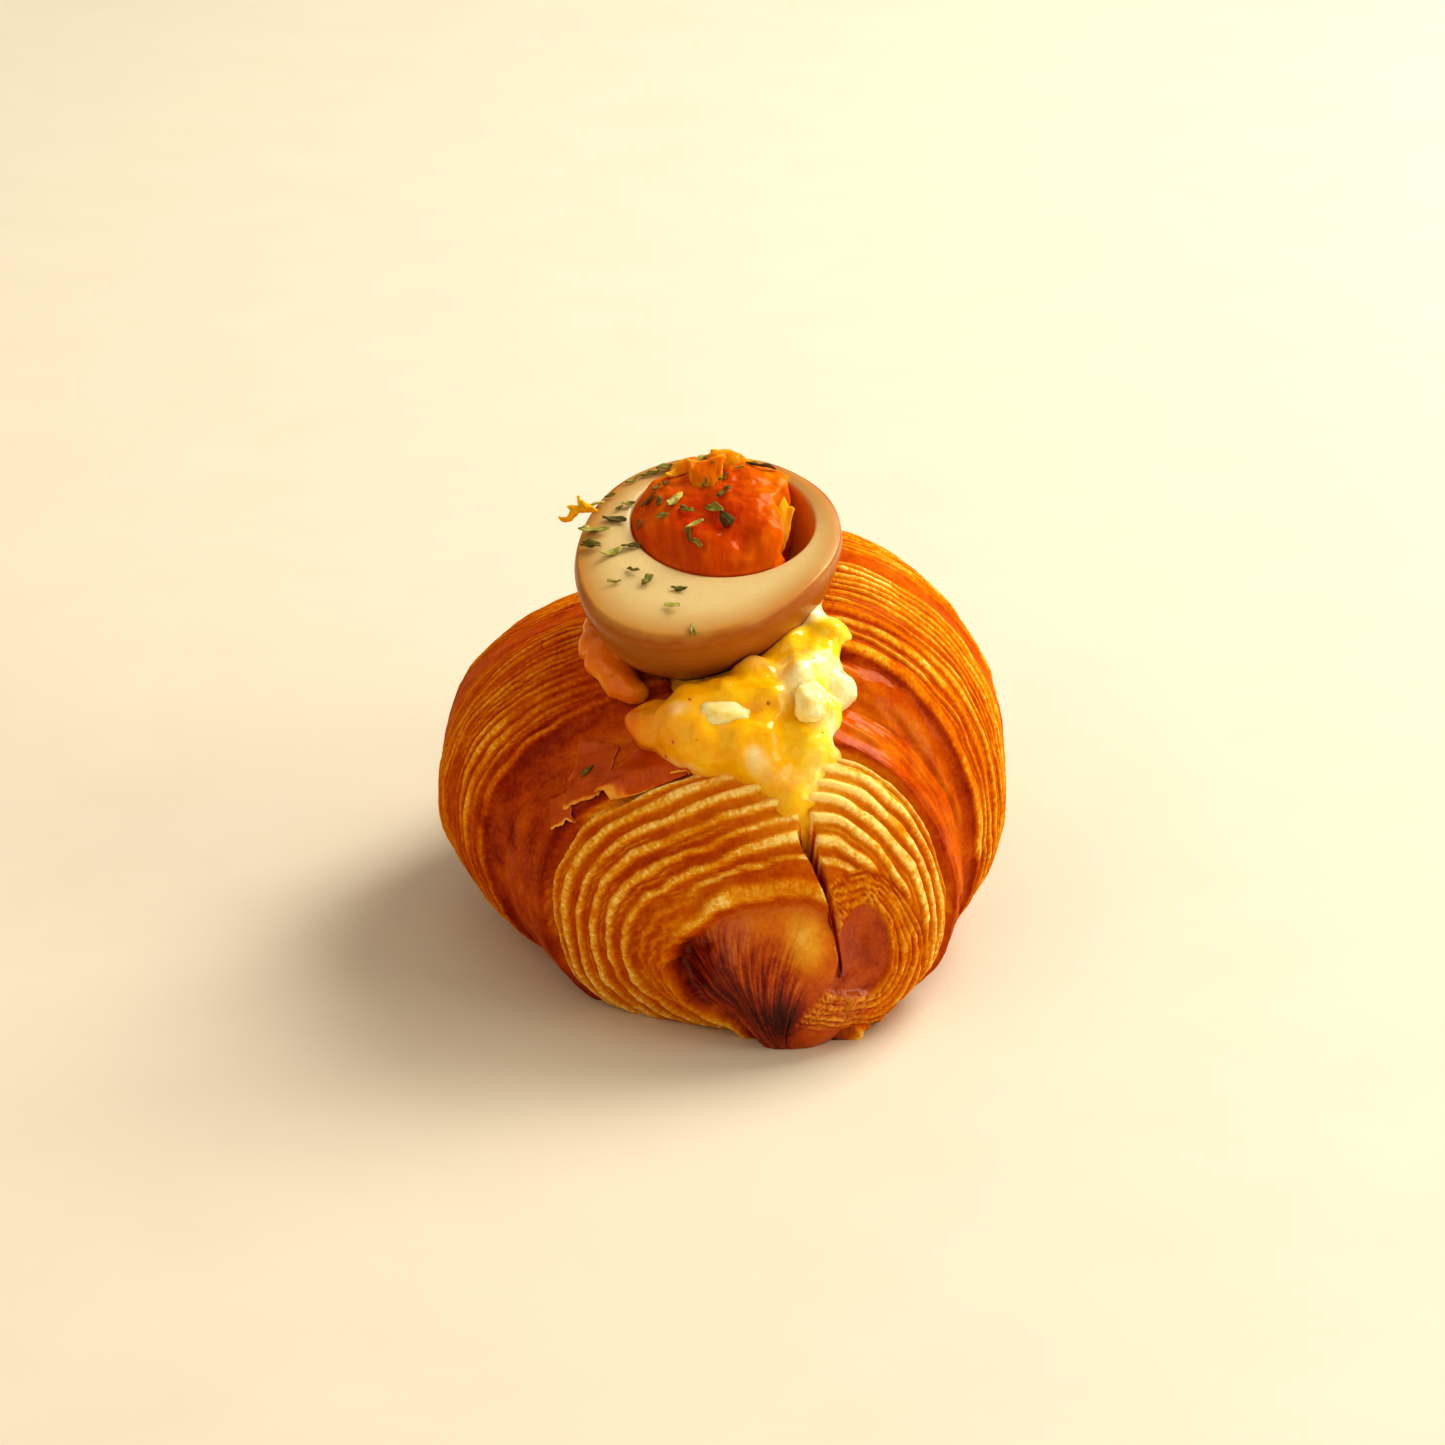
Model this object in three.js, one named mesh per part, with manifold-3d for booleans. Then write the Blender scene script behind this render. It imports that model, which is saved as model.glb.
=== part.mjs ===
// A filled croissant: one baked pastry slit along its top, egg salad spooned into the slit, half a
// marinated egg lying on the salad, and dried parsley scattered over it.
// Millimetres, +Z up. The long axis is Y, and both tips bend towards +X. The origin is the middle of
// the bounding box's base, on the surface that the pastry rests on.
import * as THREE from 'three';
import { mergeVertices } from 'three/addons/utils/BufferGeometryUtils.js';
import Module from 'manifold-3d';

const wasm = await Module();
wasm.setup();

// ---- Driving dimensions ---------------------------------------------------------------------

const NEAR_LENGTH = 53.5; // belly to the front tip
const FAR_LENGTH = 70; // belly to the back tip
const HALF_WIDTH = 45; // belly, middle to side
const CREST = 56.5; // belly, table to crest
const WIDEST_HEIGHT = 22; // where the belly is widest
const TIP_HEIGHT = 3; // the end point of each tip above the table
const NEAR_BEND = 9.5; // how far the front tip turns to +X
const FAR_BEND = 12; // and the back one
const FOOT_DIP = 4; // how much of the round underside the tray pressed flat
const LOBE_TILT = 0.1; // the right lobe stands higher and the left one lower by this share
const RING_LEAN = 0.13; // how far the rings lean outwards for each millimetre of height

const SLIT_FRONT = 43; // belly to the front end of the slit
const SLIT_BACK = 40; // belly to its back end
const SLIT_HALF_WIDTH = 14.5;
const SLIT_FLOOR = 24; // the slit's lowest line, above the table
const SLIT_TURN = 11.5; // how far the slit's ends turn to +X
const CRACK_LENGTH = 17; // the tear that runs on from the slit's front end
const CRACK_WIDTH = 2.4;
const CRACK_DEPTH = 9;

const SALAD_RISE = 1; // the salad's crown above the pastry's crest
const SALAD_OVERHANG = 2.5; // how far the salad spreads past the slit on each side
const SALAD_LUMP = 1; // height of its lumps

const EGG_HALF_LENGTH = 24.5;
const EGG_RADIUS = 19.6;
const EGG_POINT = 0.12; // how much narrower than an ellipse the pointed end is
const EGG_RIM_HEIGHT = 9; // the middle of the cut face above the pastry's crest
const EGG_BEFORE_BELLY = 12; // the egg's middle is this far in front of the belly
const EGG_LEFT = 3; // and this far to the left
const EGG_TURN = 24; // degrees from the slit, pointed end to the front left
const EGG_TILT = 16; // degrees, cut face towards the front
const YOLK_RADIUS = 14.2;
const YOLK_OFFSET = 7.6; // towards the blunt end
const YOLK_DOME = 4.5; // yolk above the cut face
const PIT_DEPTH = 13;
const BITE_RADIUS = 8; // the bite missing from the yolk's right side

const CHUNK_LENGTH = 10; // chopped egg white in the salad
const CURL_LENGTH = 4.5; // the strand of yolk on the egg's left rim
const CURL_RADIUS = 0.8;
const FLAKE_THICKNESS = 0.4;

const GAP = 0.3; // between pieces that touch

// Three wraps of one rolled sheet: how far each reaches along the pastry and how full it is, as
// shares of the half length and the belly, then how square its profile is.
const WRAPS = [
  { reach: 1.0, fullness: 0.52, shoulder: 4.0, nose: 2.2 },
  { reach: 0.97, fullness: 0.84, shoulder: 2.6, nose: 2.0 },
  { reach: 0.7, fullness: 1.0, shoulder: 2.2, nose: 2.0 },
];

// Places on the salad: along the slit from -1, its front end, to 1, then degrees round the mound
// from +X over the top. A heap spills over the slit's edge there, with a radius in millimetres, and
// a piece of chopped white shows there, with its turn from the slit in degrees.
const HEAPS = [
  [-0.2, 155, 9],
  [-0.6, 138, 9],
  [-0.4, 45, 6],
  [0.45, 60, 7],
];
const CHUNKS = [
  [-0.78, 125, 65],
  [-0.45, 50, 10],
  [-0.75, 60, -20],
  [0.5, 80, 40],
];

// Parsley on the cut face, before the face is turned along the egg: across to the right, back from
// the middle of the face, length, and turn in degrees.
const FLAKES = [
  [-0.5, 19.5, 4.5, 30], [1.5, 16.5, 3.5, 80], [3.5, 20, 2, 60], [0, 12, 3, 75], [9, 17.5, 4.5, 5],
  [3, 8.5, 2.5, 35], [-4.5, 7.5, 4, 60], [-6.5, 4, 2, 20], [1.5, 4.5, 3, 160], [3.5, 1.5, 4.5, 110],
  [-1.5, 1.5, 3, 15], [-3, -1, 2.5, 80], [-1, -3, 2, 120], [-2.5, 5.5, 2.5, 150], [-7, 8, 2.5, 75],
  [-7.5, 12.5, 2, 40], [-5.5, 13.5, 2.5, 70], [5.5, 15, 1.5, 10], [3, 12.5, 2, 45],
  [-6, 21, 3, 10], [-8.5, 19.5, 3, 20], [-11, 17.5, 2.5, 30], [-11.5, 11.5, 2.5, 20],
  [-9.5, 9.5, 3, 5], [-13.5, 7.5, 3.5, 170], [-13, 10.5, 1.5, 50], [-14.5, 13.5, 1.5, 0],
  [-16.5, 4.5, 4.5, 175], [-17, 11.3, 3, 25], [-17, 0.5, 3, 165], [-14, -1.5, 4, 20],
  [-11, 0.5, 3.5, 25], [-11, 4.5, 2, 70], [-10.5, -6, 2, 150], [-13.5, -8.5, 2, 10],
  [-8.5, -8.5, 2.5, 50], [-3.5, -10.5, 2.5, 160], [-4.5, -15, 2.5, 170], [-1.5, -20.5, 2.5, 90],
];

// ---- Materials ------------------------------------------------------------------------------

const finish = (color, roughness) => new THREE.MeshStandardMaterial({ color, roughness, metalness: 0 });
const crust = finish(0xb5651d, 0.45);
const dressing = finish(0xf0b93a, 0.3);
const marinatedWhite = finish(0xe2c58f, 0.35);
const choppedWhite = finish(0xf6e6b8, 0.35);
const jammyYolk = finish(0xd0480e, 0.25);
const parsley = finish(0x5b5f25, 0.8);

// ---- Helpers --------------------------------------------------------------------------------

const radians = THREE.MathUtils.degToRad;

// A superellipse's coordinate from a circle's: the same sign, a squarer curve.
const squarer = (value, power) => Math.sign(value) * Math.abs(value) ** (2 / power);

// A closed blob with its poles on Y: place(along, side, up, ring) turns each point of the unit
// sphere into a point of the piece. side and up are the direction round the ring, and ring its size.
function blob(around, along, place) {
  const geometry = new THREE.SphereGeometry(1, around, along);
  const position = geometry.getAttribute('position');
  for (let i = 0; i < position.count; i++) {
    const [x, y, z] = [position.getX(i), position.getY(i), position.getZ(i)];
    const ring = Math.hypot(x, z);
    const onPole = ring < 1e-6;
    const [side, up] = onPole ? [0, 0] : [x / ring, z / ring];
    position.setXYZ(i, ...place(y, side, up, onPole ? 0 : ring));
  }
  return geometry;
}

function solidOf(geometry) {
  geometry.deleteAttribute('normal');
  geometry.deleteAttribute('uv');
  const merged = mergeVertices(geometry, 1e-4);
  return new wasm.Manifold(new wasm.Mesh({
    numProp: 3,
    vertProperties: merged.getAttribute('position').array,
    triVerts: new Uint32Array(merged.index.array),
  }));
}

function geometryOf(solid) {
  const { vertProperties, triVerts } = solid.getMesh();
  const geometry = new THREE.BufferGeometry();
  geometry.setAttribute('position', new THREE.BufferAttribute(vertProperties, 3));
  geometry.setIndex(new THREE.BufferAttribute(triVerts, 1));
  geometry.computeVertexNormals();
  return geometry;
}

function pieceOf(name, solid, material) {
  const mesh = new THREE.Mesh(geometryOf(solid), material);
  mesh.name = name;
  return mesh;
}

// The largest body of a solid, without the crumbs that a cut leaves beside it.
function mainBody(solid) {
  const bodies = solid.decompose();
  return bodies.reduce((best, body) => (body.volume() > best.volume() ? body : best));
}

// A solid of a group's own frame, brought into the frame that the group stands in.
const placed = (solid, group) => solidOf(geometryOf(solid).applyMatrix4(group.matrix));

// ---- Pastry ---------------------------------------------------------------------------------

const halfLength = (t) => (t < 0 ? NEAR_LENGTH : FAR_LENGTH);

// The pastry's fullness at t, from -1 at the front tip to 1 at the back one.
function girth(t) {
  const fullnesses = WRAPS.map(({ reach, fullness, shoulder, nose }) => {
    const share = Math.min(1, Math.abs(t) / reach);
    return fullness * (1 - share ** shoulder) ** (1 / nose);
  });
  return Math.max(...fullnesses);
}

// The line that the rings are strung on, seen from above.
const spineX = (t) => (t < 0 ? NEAR_BEND : FAR_BEND) * Math.abs(t) ** 2.2;

function pastryBody(grown) {
  return solidOf(blob(36, 48, (t, side, up) => {
    const size = girth(t);
    const x = (HALF_WIDTH * size + grown) * squarer(side, 2.2);
    const middle = THREE.MathUtils.lerp(TIP_HEIGHT, WIDEST_HEIGHT, size);
    const above = (CREST - WIDEST_HEIGHT) * size + grown;
    const below = (middle + FOOT_DIP) * (1 - (1 - size) ** 6);
    const tilt = 1 + LOBE_TILT * Math.tanh(x / (HALF_WIDTH / 3)) * Math.max(0, up);
    const z = (middle + (up > 0 ? above : below) * squarer(up, 2.2)) * tilt;
    const y = t * (halfLength(t) + grown) + RING_LEAN * z * Math.tanh(2 * t);
    return [x + spineX(t), y, z];
  }));
}

// Everything below the table, cut away to leave the flat foot.
function belowTable() {
  const box = new THREE.BoxGeometry(4 * HALF_WIDTH, 2 * (NEAR_LENGTH + FAR_LENGTH), 2 * CREST);
  box.translate(0, 0, -CREST);
  return solidOf(box);
}

const slitHalfLength = (t) => (t < 0 ? SLIT_FRONT : SLIT_BACK);
const slitX = (t) => SLIT_TURN * t * t;

// A V-shaped trough that is open at the top. shrunk narrows it all round.
function slit(shrunk) {
  return solidOf(blob(20, 24, (t, side, up, ring) => {
    const x = (SLIT_HALF_WIDTH - shrunk) * ring ** 1.3 * side;
    const depth = (CREST - SLIT_FLOOR - shrunk) * ring ** 0.7;
    const z = up > 0 ? CREST * (1 + up * ring) : CREST - depth * Math.abs(up) ** 0.8;
    return [x + slitX(t), t * (slitHalfLength(t) - shrunk), z];
  }));
}

// The tear that runs on from the slit's front end towards the tip.
function crack() {
  const root = SLIT_FRONT / 6;
  const outline = new THREE.Shape();
  outline.moveTo(0, -CRACK_LENGTH);
  outline.lineTo(CRACK_WIDTH / 2, -CRACK_LENGTH / 2);
  outline.lineTo(CRACK_WIDTH / 2, root);
  outline.lineTo(-CRACK_WIDTH / 2, root);
  outline.lineTo(-CRACK_WIDTH / 3, -CRACK_LENGTH / 3);
  outline.closePath();
  const wedge = new THREE.ExtrudeGeometry(outline, { depth: 2 * CREST, bevelEnabled: false });
  const floor = girth(-SLIT_FRONT / NEAR_LENGTH) * CREST - CRACK_DEPTH;
  wedge.rotateZ(radians(SLIT_TURN));
  wedge.translate(slitX(-1), -SLIT_FRONT, floor);
  return solidOf(wedge);
}

// ---- Half egg, in its own frame: cut face up at z 0, pointed end towards -Y --------------------

const egg = new THREE.Group();
egg.position.set(-EGG_LEFT, -EGG_BEFORE_BELLY, CREST + EGG_RIM_HEIGHT);
egg.rotation.set(radians(EGG_TILT), 0, radians(-EGG_TURN), 'XYZ');
egg.updateMatrix();

function eggHalf(grown) {
  const whole = solidOf(blob(28, 18, (t, side, up, ring) => {
    const radius = (EGG_RADIUS + grown) * ring * (1 + EGG_POINT * t);
    return [radius * side, t * (EGG_HALF_LENGTH + grown), radius * up];
  }));
  const size = 4 * EGG_HALF_LENGTH;
  const cover = new THREE.BoxGeometry(size, size, size);
  cover.translate(0, 0, size / 2 + grown);
  return whole.subtract(solidOf(cover));
}

// The dome's height at a share of the yolk's radius.
const domeHeight = (share) => YOLK_DOME * Math.sqrt(Math.max(0, 1 - Math.min(1, share) ** 4));

// A round bowl below the cut face, and a cap above it.
function yolkShape(shrunk, cap) {
  const radius = YOLK_RADIUS - shrunk;
  return solidOf(blob(22, 14, (t, side, up, ring) => {
    const rise = up * ring;
    const z = rise > 0 ? cap * rise * Math.sqrt(2 - rise * rise) : (PIT_DEPTH - shrunk) * rise;
    return [radius * ring * side, radius * t + YOLK_OFFSET, z];
  }));
}

function yolkBite() {
  const bite = new THREE.SphereGeometry(BITE_RADIUS, 14, 9);
  bite.translate(YOLK_RADIUS - BITE_RADIUS / 5, YOLK_OFFSET - YOLK_RADIUS / 2, 0);
  return solidOf(bite);
}

// The strand of yolk that hangs over the left rim.
function yolkCurl() {
  const path = new THREE.QuadraticBezierCurve3(
    new THREE.Vector3(0, CURL_LENGTH / 3, 0),
    new THREE.Vector3(-CURL_LENGTH / 3, 0, CURL_RADIUS),
    new THREE.Vector3(-CURL_LENGTH, -CURL_LENGTH / 4, 0),
  );
  const section = new THREE.Shape().absarc(0, 0, CURL_RADIUS, 0, 2 * Math.PI);
  const settings = { steps: 6, curveSegments: 3, bevelEnabled: false, extrudePath: path };
  const strand = new THREE.ExtrudeGeometry(section, settings);
  strand.translate(-EGG_RADIUS * 0.88, EGG_RADIUS * 0.4, CURL_RADIUS + GAP);
  return strand;
}

// ---- Egg salad ------------------------------------------------------------------------------

const lumps = (x, y, z) => SALAD_LUMP
  * (Math.sin(x / 2.1 + y / 3.3) + Math.sin(y / 2.4 - z / 2.9 + 1) + Math.sin(z / 2.2 + x / 3.7 + 2)) / 2;

// A point of the mound's surface that fills the slit and bulges out of it.
function moundPoint(t, side, up, ring) {
  const middle = (CREST + SLIT_FLOOR) / 2;
  const x = (SLIT_HALF_WIDTH + SALAD_OVERHANG) * ring ** 0.8 * side + slitX(t);
  const y = t * (slitHalfLength(t) + SALAD_OVERHANG / 3);
  const rise = (CREST + SALAD_RISE - middle) * ring ** 0.9;
  const sag = (CREST - middle) * (1 - ring) / 2;
  const z = middle - sag + (up > 0 ? rise : middle) * up;
  const swell = lumps(x, y, z);
  return [x + swell * side, y, z + swell * up];
}

// The point of the mound at a place along the slit and round the mound.
function moundPlace(along, round) {
  const angle = radians(round);
  return moundPoint(along, Math.cos(angle), Math.sin(angle), Math.sqrt(1 - along * along));
}

function heap(along, round, radius) {
  const lump = new THREE.SphereGeometry(radius, 14, 9);
  lump.translate(...moundPlace(along, round));
  return solidOf(lump);
}

function chunk(along, round, turn, grown) {
  const size = CHUNK_LENGTH / 2;
  const lump = new THREE.IcosahedronGeometry(1, 1);
  lump.scale(size * 0.45 + grown, size + grown, size * 0.55 + grown);
  lump.rotateZ(radians(-turn));
  lump.translate(...moundPlace(along, round));
  return solidOf(lump);
}

// ---- Parsley --------------------------------------------------------------------------------

// A leaf fragment lying flat: a pointed oval, longer along X.
function flake(length) {
  const outline = new THREE.Shape();
  outline.moveTo(-length / 2, 0);
  outline.lineTo(-length / 6, -length / 4);
  outline.lineTo(length / 3, -length / 5);
  outline.lineTo(length / 2, length / 12);
  outline.lineTo(length / 8, length / 4);
  outline.closePath();
  return new THREE.ExtrudeGeometry(outline, { depth: FLAKE_THICKNESS, bevelEnabled: false });
}

// How high a flake lies over the cut face: on the white, or clear of the yolk's dome.
function restHeight(across, back, length) {
  const turn = radians(EGG_TURN);
  const toYolkX = across - YOLK_OFFSET * Math.sin(turn);
  const toYolkY = back - YOLK_OFFSET * Math.cos(turn);
  const nearest = Math.max(0, Math.hypot(toYolkX, toYolkY) - length / 2);
  return domeHeight(nearest / YOLK_RADIUS) + GAP;
}

// ---- Assembly -------------------------------------------------------------------------------

const eggWithRoom = placed(eggHalf(GAP), egg);
const pastry = mainBody(
  pastryBody(0).subtract(belowTable()).subtract(slit(0)).subtract(crack()).subtract(eggWithRoom),
);
const pastryWithRoom = pastryBody(GAP).subtract(slit(GAP));
const around = pastryWithRoom.add(eggWithRoom);

const croissant = new THREE.Group();
croissant.add(pieceOf('croissant_pastry', pastry, crust));

const chunks = CHUNKS.map(([along, round, turn]) => mainBody(chunk(along, round, turn, 0).subtract(around)));
chunks.forEach((piece, i) => croissant.add(pieceOf(`chopped_white_${i + 1}`, piece, choppedWhite)));

const heaped = HEAPS.reduce((salad, place) => salad.add(heap(...place)), solidOf(blob(24, 28, moundPoint)));
const salad = CHUNKS.reduce((rest, place) => rest.subtract(chunk(...place, GAP)), heaped.subtract(around));
croissant.add(pieceOf('egg_salad', mainBody(salad), dressing));

const white = eggHalf(0).subtract(yolkShape(0, 2 * YOLK_RADIUS));
egg.add(pieceOf('marinated_egg_white', white, marinatedWhite));
egg.add(pieceOf('egg_yolk', yolkShape(GAP, YOLK_DOME).subtract(yolkBite()), jammyYolk));

// What lies loose on the cut face follows its tilt but not the egg's turn.
const face = new THREE.Group();
face.rotation.z = radians(EGG_TURN);
egg.add(face);

const curl = new THREE.Mesh(yolkCurl(), jammyYolk);
curl.name = 'yolk_curl';
face.add(curl);

FLAKES.forEach(([across, back, length, turn], i) => {
  const leaf = new THREE.Mesh(flake(length), parsley);
  leaf.name = `parsley_flake_${String(i + 1).padStart(2, '0')}`;
  leaf.position.set(across, back, restHeight(across, back, length));
  leaf.rotation.z = radians(turn);
  face.add(leaf);
});

croissant.add(egg);
croissant.updateMatrixWorld(true);
const bounds = new THREE.Box3().setFromObject(croissant, true);
const middle = bounds.getCenter(new THREE.Vector3());
croissant.position.set(-middle.x, -middle.y, -bounds.min.z);

export default croissant;
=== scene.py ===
# A glazed croissant filled with egg salad, with half a marinated egg on top and dried parsley.
# Metres, +Z up, tips along Y. Shapes are worked out in millimetres and turned to metres at the end.
import bpy
import math
import numpy as np
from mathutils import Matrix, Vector
from mathutils.bvhtree import BVHTree


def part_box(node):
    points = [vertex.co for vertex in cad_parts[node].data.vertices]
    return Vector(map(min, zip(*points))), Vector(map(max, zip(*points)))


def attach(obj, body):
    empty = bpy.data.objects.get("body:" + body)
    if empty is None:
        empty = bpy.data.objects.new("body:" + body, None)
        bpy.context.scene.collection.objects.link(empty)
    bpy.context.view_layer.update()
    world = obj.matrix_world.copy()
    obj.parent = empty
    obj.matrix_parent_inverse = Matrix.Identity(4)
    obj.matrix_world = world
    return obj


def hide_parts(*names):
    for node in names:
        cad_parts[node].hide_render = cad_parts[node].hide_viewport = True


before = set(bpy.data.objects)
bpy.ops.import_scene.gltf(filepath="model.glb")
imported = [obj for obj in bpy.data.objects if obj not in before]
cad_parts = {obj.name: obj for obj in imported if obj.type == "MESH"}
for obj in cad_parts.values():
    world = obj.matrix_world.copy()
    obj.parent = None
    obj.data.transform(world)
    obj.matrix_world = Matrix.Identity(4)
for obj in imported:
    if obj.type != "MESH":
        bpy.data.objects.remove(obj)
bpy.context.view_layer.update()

MM = 0.001

# ---- Sizes, in millimetres ----

PASTRY_LOW, PASTRY_HIGH = (np.array(corner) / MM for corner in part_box("croissant_pastry"))
FRONT_HALF = 53.5          # belly to the front tip
BACK_HALF = 70.0           # belly to the back tip
BELLY_Y = -7.0             # the belly's place between the tips
HALF_WIDTH = (PASTRY_HIGH[0] - PASTRY_LOW[0]) / 2
CREST = 56.5
WIDEST_HEIGHT = 22.0
TIP_HEIGHT = 3.0
FRONT_BEND, BACK_BEND = 9.5, 12.0
FOOT_DIP = 4.0
LOBE_TILT = 0.1            # how much higher the +X side stands
RING_LEAN = 0.13           # how far a ring leans towards its tip
SQUARENESS = 2.2           # a ring is a circle at 2 and squarer above
SPINE_POWER = 2.2          # how late the tips bend
# Each wrap of the rolled sheet: reach, fullness, shoulder, nose.
WRAPS = ((1.0, 0.52, 4.0, 2.2), (0.97, 0.84, 2.6, 2.0), (0.7, 1.0, 2.2, 2.0))

SLIT_FRONT = 43.0
SLIT_BACK = 40.0
SLIT_HALF_WIDTH = 14.5
SLIT_FLOOR = 24.0
SLIT_TURN = 11.5
CRACK_START, CRACK_END = -0.78, -0.955   # shares of the front half, along the crest
CRACK_HALF_WIDTH, CRACK_DEPTH = 1.1, 7.0
CRACK_SIDESTEP = 5.0       # how far the crack runs to +X of the slit's end

SALAD_OVERHANG = 2.5

EGG_HALF_LENGTH = 24.5
EGG_RADIUS = 19.6
EGG_POINT = 0.12
EGG_MIDDLE = (-3.0, BELLY_Y - 12.0, CREST + 9.0)
EGG_TURN = 24.0
EGG_TILT = 16.0
YOLK_RADIUS = 14.2
YOLK_OFFSET = 7.6
YOLK_DOME = 4.5
PIT_DEPTH = 13.0

ROWS = 480                 # rings of faces from tip to tip
COLUMNS = 200              # faces round a ring
SLIT_COLUMNS = 32          # of those, the ones inside the slit

EAR_MIDDLE = (21.2, -7.6)  # the rolled end's hollow: across, and up as the camera sees it
EAR_SIZE = (3.6, 6.6)
CAMERA_SEES = (0.923, 0.384)   # how much of a height and of a depth the camera sees as height
TIP_POINT_X = 9.5
FLAT_HEIGHT = 24.0         # below this the horn's arch lifts it off the table

PEEL_THICKNESS = 0.22
TORN_YOLK_THICKNESS = 0.7
LEAF_THICKNESS = 0.18
STRAND_RADIUS = 0.42
FLAKES = 39                # the parsley flakes that have a solid of their own
CHOPPED_WHITES = 4

# ---- Camera, in millimetres and degrees ----

CAMERA_AIM = (0.0, BELLY_Y, 31.4)
CAMERA_DISTANCE = 700.0
LOOKING_DOWN = 22.6


# ---- Helpers ----

def smooth(low, high, value):
    """0 below low, 1 above high, and an S curve between."""
    share = np.clip((value - low) / (high - low), 0.0, 1.0)
    return share * share * (3.0 - 2.0 * share)


def hashed(ix, iy, iz, seed):
    """A fixed value from 0 to 1 for each whole-number cell."""
    mixed = (ix.astype(np.int64) * 73856093) ^ (iy.astype(np.int64) * 19349663)
    mixed = mixed ^ (iz.astype(np.int64) * 83492791) ^ (seed * 2654435761)
    mixed = (mixed ^ (mixed >> 13)) * 1274126177
    mixed = mixed & 0x7FFFFFFF
    mixed = (mixed ^ (mixed >> 16)) * 60493
    return ((mixed & 0xFFFFF) / float(0xFFFFF))


def waves(x, y, z=0.0, seed=1):
    """Smooth noise from -1 to 1 with one bump for each unit."""
    x, y, z = np.broadcast_arrays(np.asarray(x, float), np.asarray(y, float), np.asarray(z, float))
    ix, iy, iz = np.floor(x), np.floor(y), np.floor(z)
    fx, fy, fz = x - ix, y - iy, z - iz
    fx, fy, fz = (f * f * (3.0 - 2.0 * f) for f in (fx, fy, fz))
    total = np.zeros(x.shape)
    for dx in (0, 1):
        for dy in (0, 1):
            for dz in (0, 1):
                weight = (fx if dx else 1 - fx) * (fy if dy else 1 - fy) * (fz if dz else 1 - fz)
                total += weight * hashed(ix + dx, iy + dy, iz + dz, seed)
    return total * 2.0 - 1.0


def rough(x, y, z=0.0, seed=1, octaves=3):
    """Noise with finer and finer bumps."""
    total, size = 0.0, 1.0
    for octave in range(octaves):
        scale = 2.0 ** octave
        total = total + size * waves(x * scale, y * scale, z * scale, seed + octave)
        size *= 0.5
    return total


def table(*columns):
    """A table of these columns, such as points from x, y and z."""
    return np.stack(columns, 1)


def squarer(value, power):
    """Turns a sine or cosine of a circle into that of a squarer ring."""
    return np.sign(value) * np.abs(value) ** (2.0 / power)


def select(*pieces):
    """Selects these pieces alone, and makes the first one active."""
    if bpy.context.object and bpy.context.object.mode != "OBJECT":
        bpy.ops.object.mode_set(mode="OBJECT")
    bpy.ops.object.select_all(action="DESELECT")
    for piece in pieces:
        piece.select_set(True)
    if pieces:
        bpy.context.view_layer.objects.active = pieces[0]


def just_added(name):
    """The piece that an operator has just added, under its name."""
    piece = bpy.context.object
    piece.name = name
    piece.data.name = name
    return piece


def change(piece, kind, **settings):
    """Adds a modifier to a piece and applies it."""
    modifier = piece.modifiers.new(kind.lower(), kind)
    for key, value in settings.items():
        setattr(modifier, key, value)
    select(piece)
    bpy.ops.object.modifier_apply(modifier=modifier.name)


def coordinates(piece):
    flat = np.empty(len(piece.data.vertices) * 3)
    piece.data.vertices.foreach_get("co", flat)
    return flat.reshape(-1, 3)


def set_coordinates(piece, points):
    piece.data.vertices.foreach_set("co", np.ascontiguousarray(points, float).ravel())
    piece.data.update()


def note(piece, **fields):
    """Keeps one value or one vector for each point under each name, for the materials to read."""
    for name, values in fields.items():
        values = np.asarray(values, np.float32)
        kind, key = ("FLOAT", "value") if values.ndim == 1 else ("FLOAT_VECTOR", "vector")
        field = piece.data.attributes.new(name, kind, "POINT")
        field.data.foreach_set(key, values.ravel())


def standing_ball(name, columns, rows):
    """A unit sphere with its poles on Z, and each point's share down from the top and turn round."""
    select()
    bpy.ops.mesh.primitive_uv_sphere_add(segments=columns, ring_count=rows, radius=1.0)
    piece = just_added(name)
    unit = coordinates(piece)
    down = np.arccos(np.clip(unit[:, 2], -1.0, 1.0)) / math.pi
    return piece, down, np.arctan2(unit[:, 1], unit[:, 0])


def ball(name, columns, rows):
    """A unit sphere with its poles on Y."""
    piece, _, _ = standing_ball(name, columns, rows)
    points = coordinates(piece)
    set_coordinates(piece, table(points[:, 0], points[:, 2], -points[:, 1]))
    return piece


def spot(x, z, middle, reach):
    """1 at its middle, falling softly towards 0 beyond its reach across and up."""
    return np.exp(-((x - middle[0]) / reach[0]) ** 2 - ((z - middle[1]) / reach[1]) ** 2)


def finish(piece, material, replaces=()):
    """Smooth shading, the material, and its place in the frame."""
    select(piece)
    bpy.ops.object.shade_smooth()
    piece.data.materials.clear()
    piece.data.materials.append(material)
    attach(piece, "root")
    if replaces:
        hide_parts(*replaces)


# ---- Camera, floor and light ----

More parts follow.
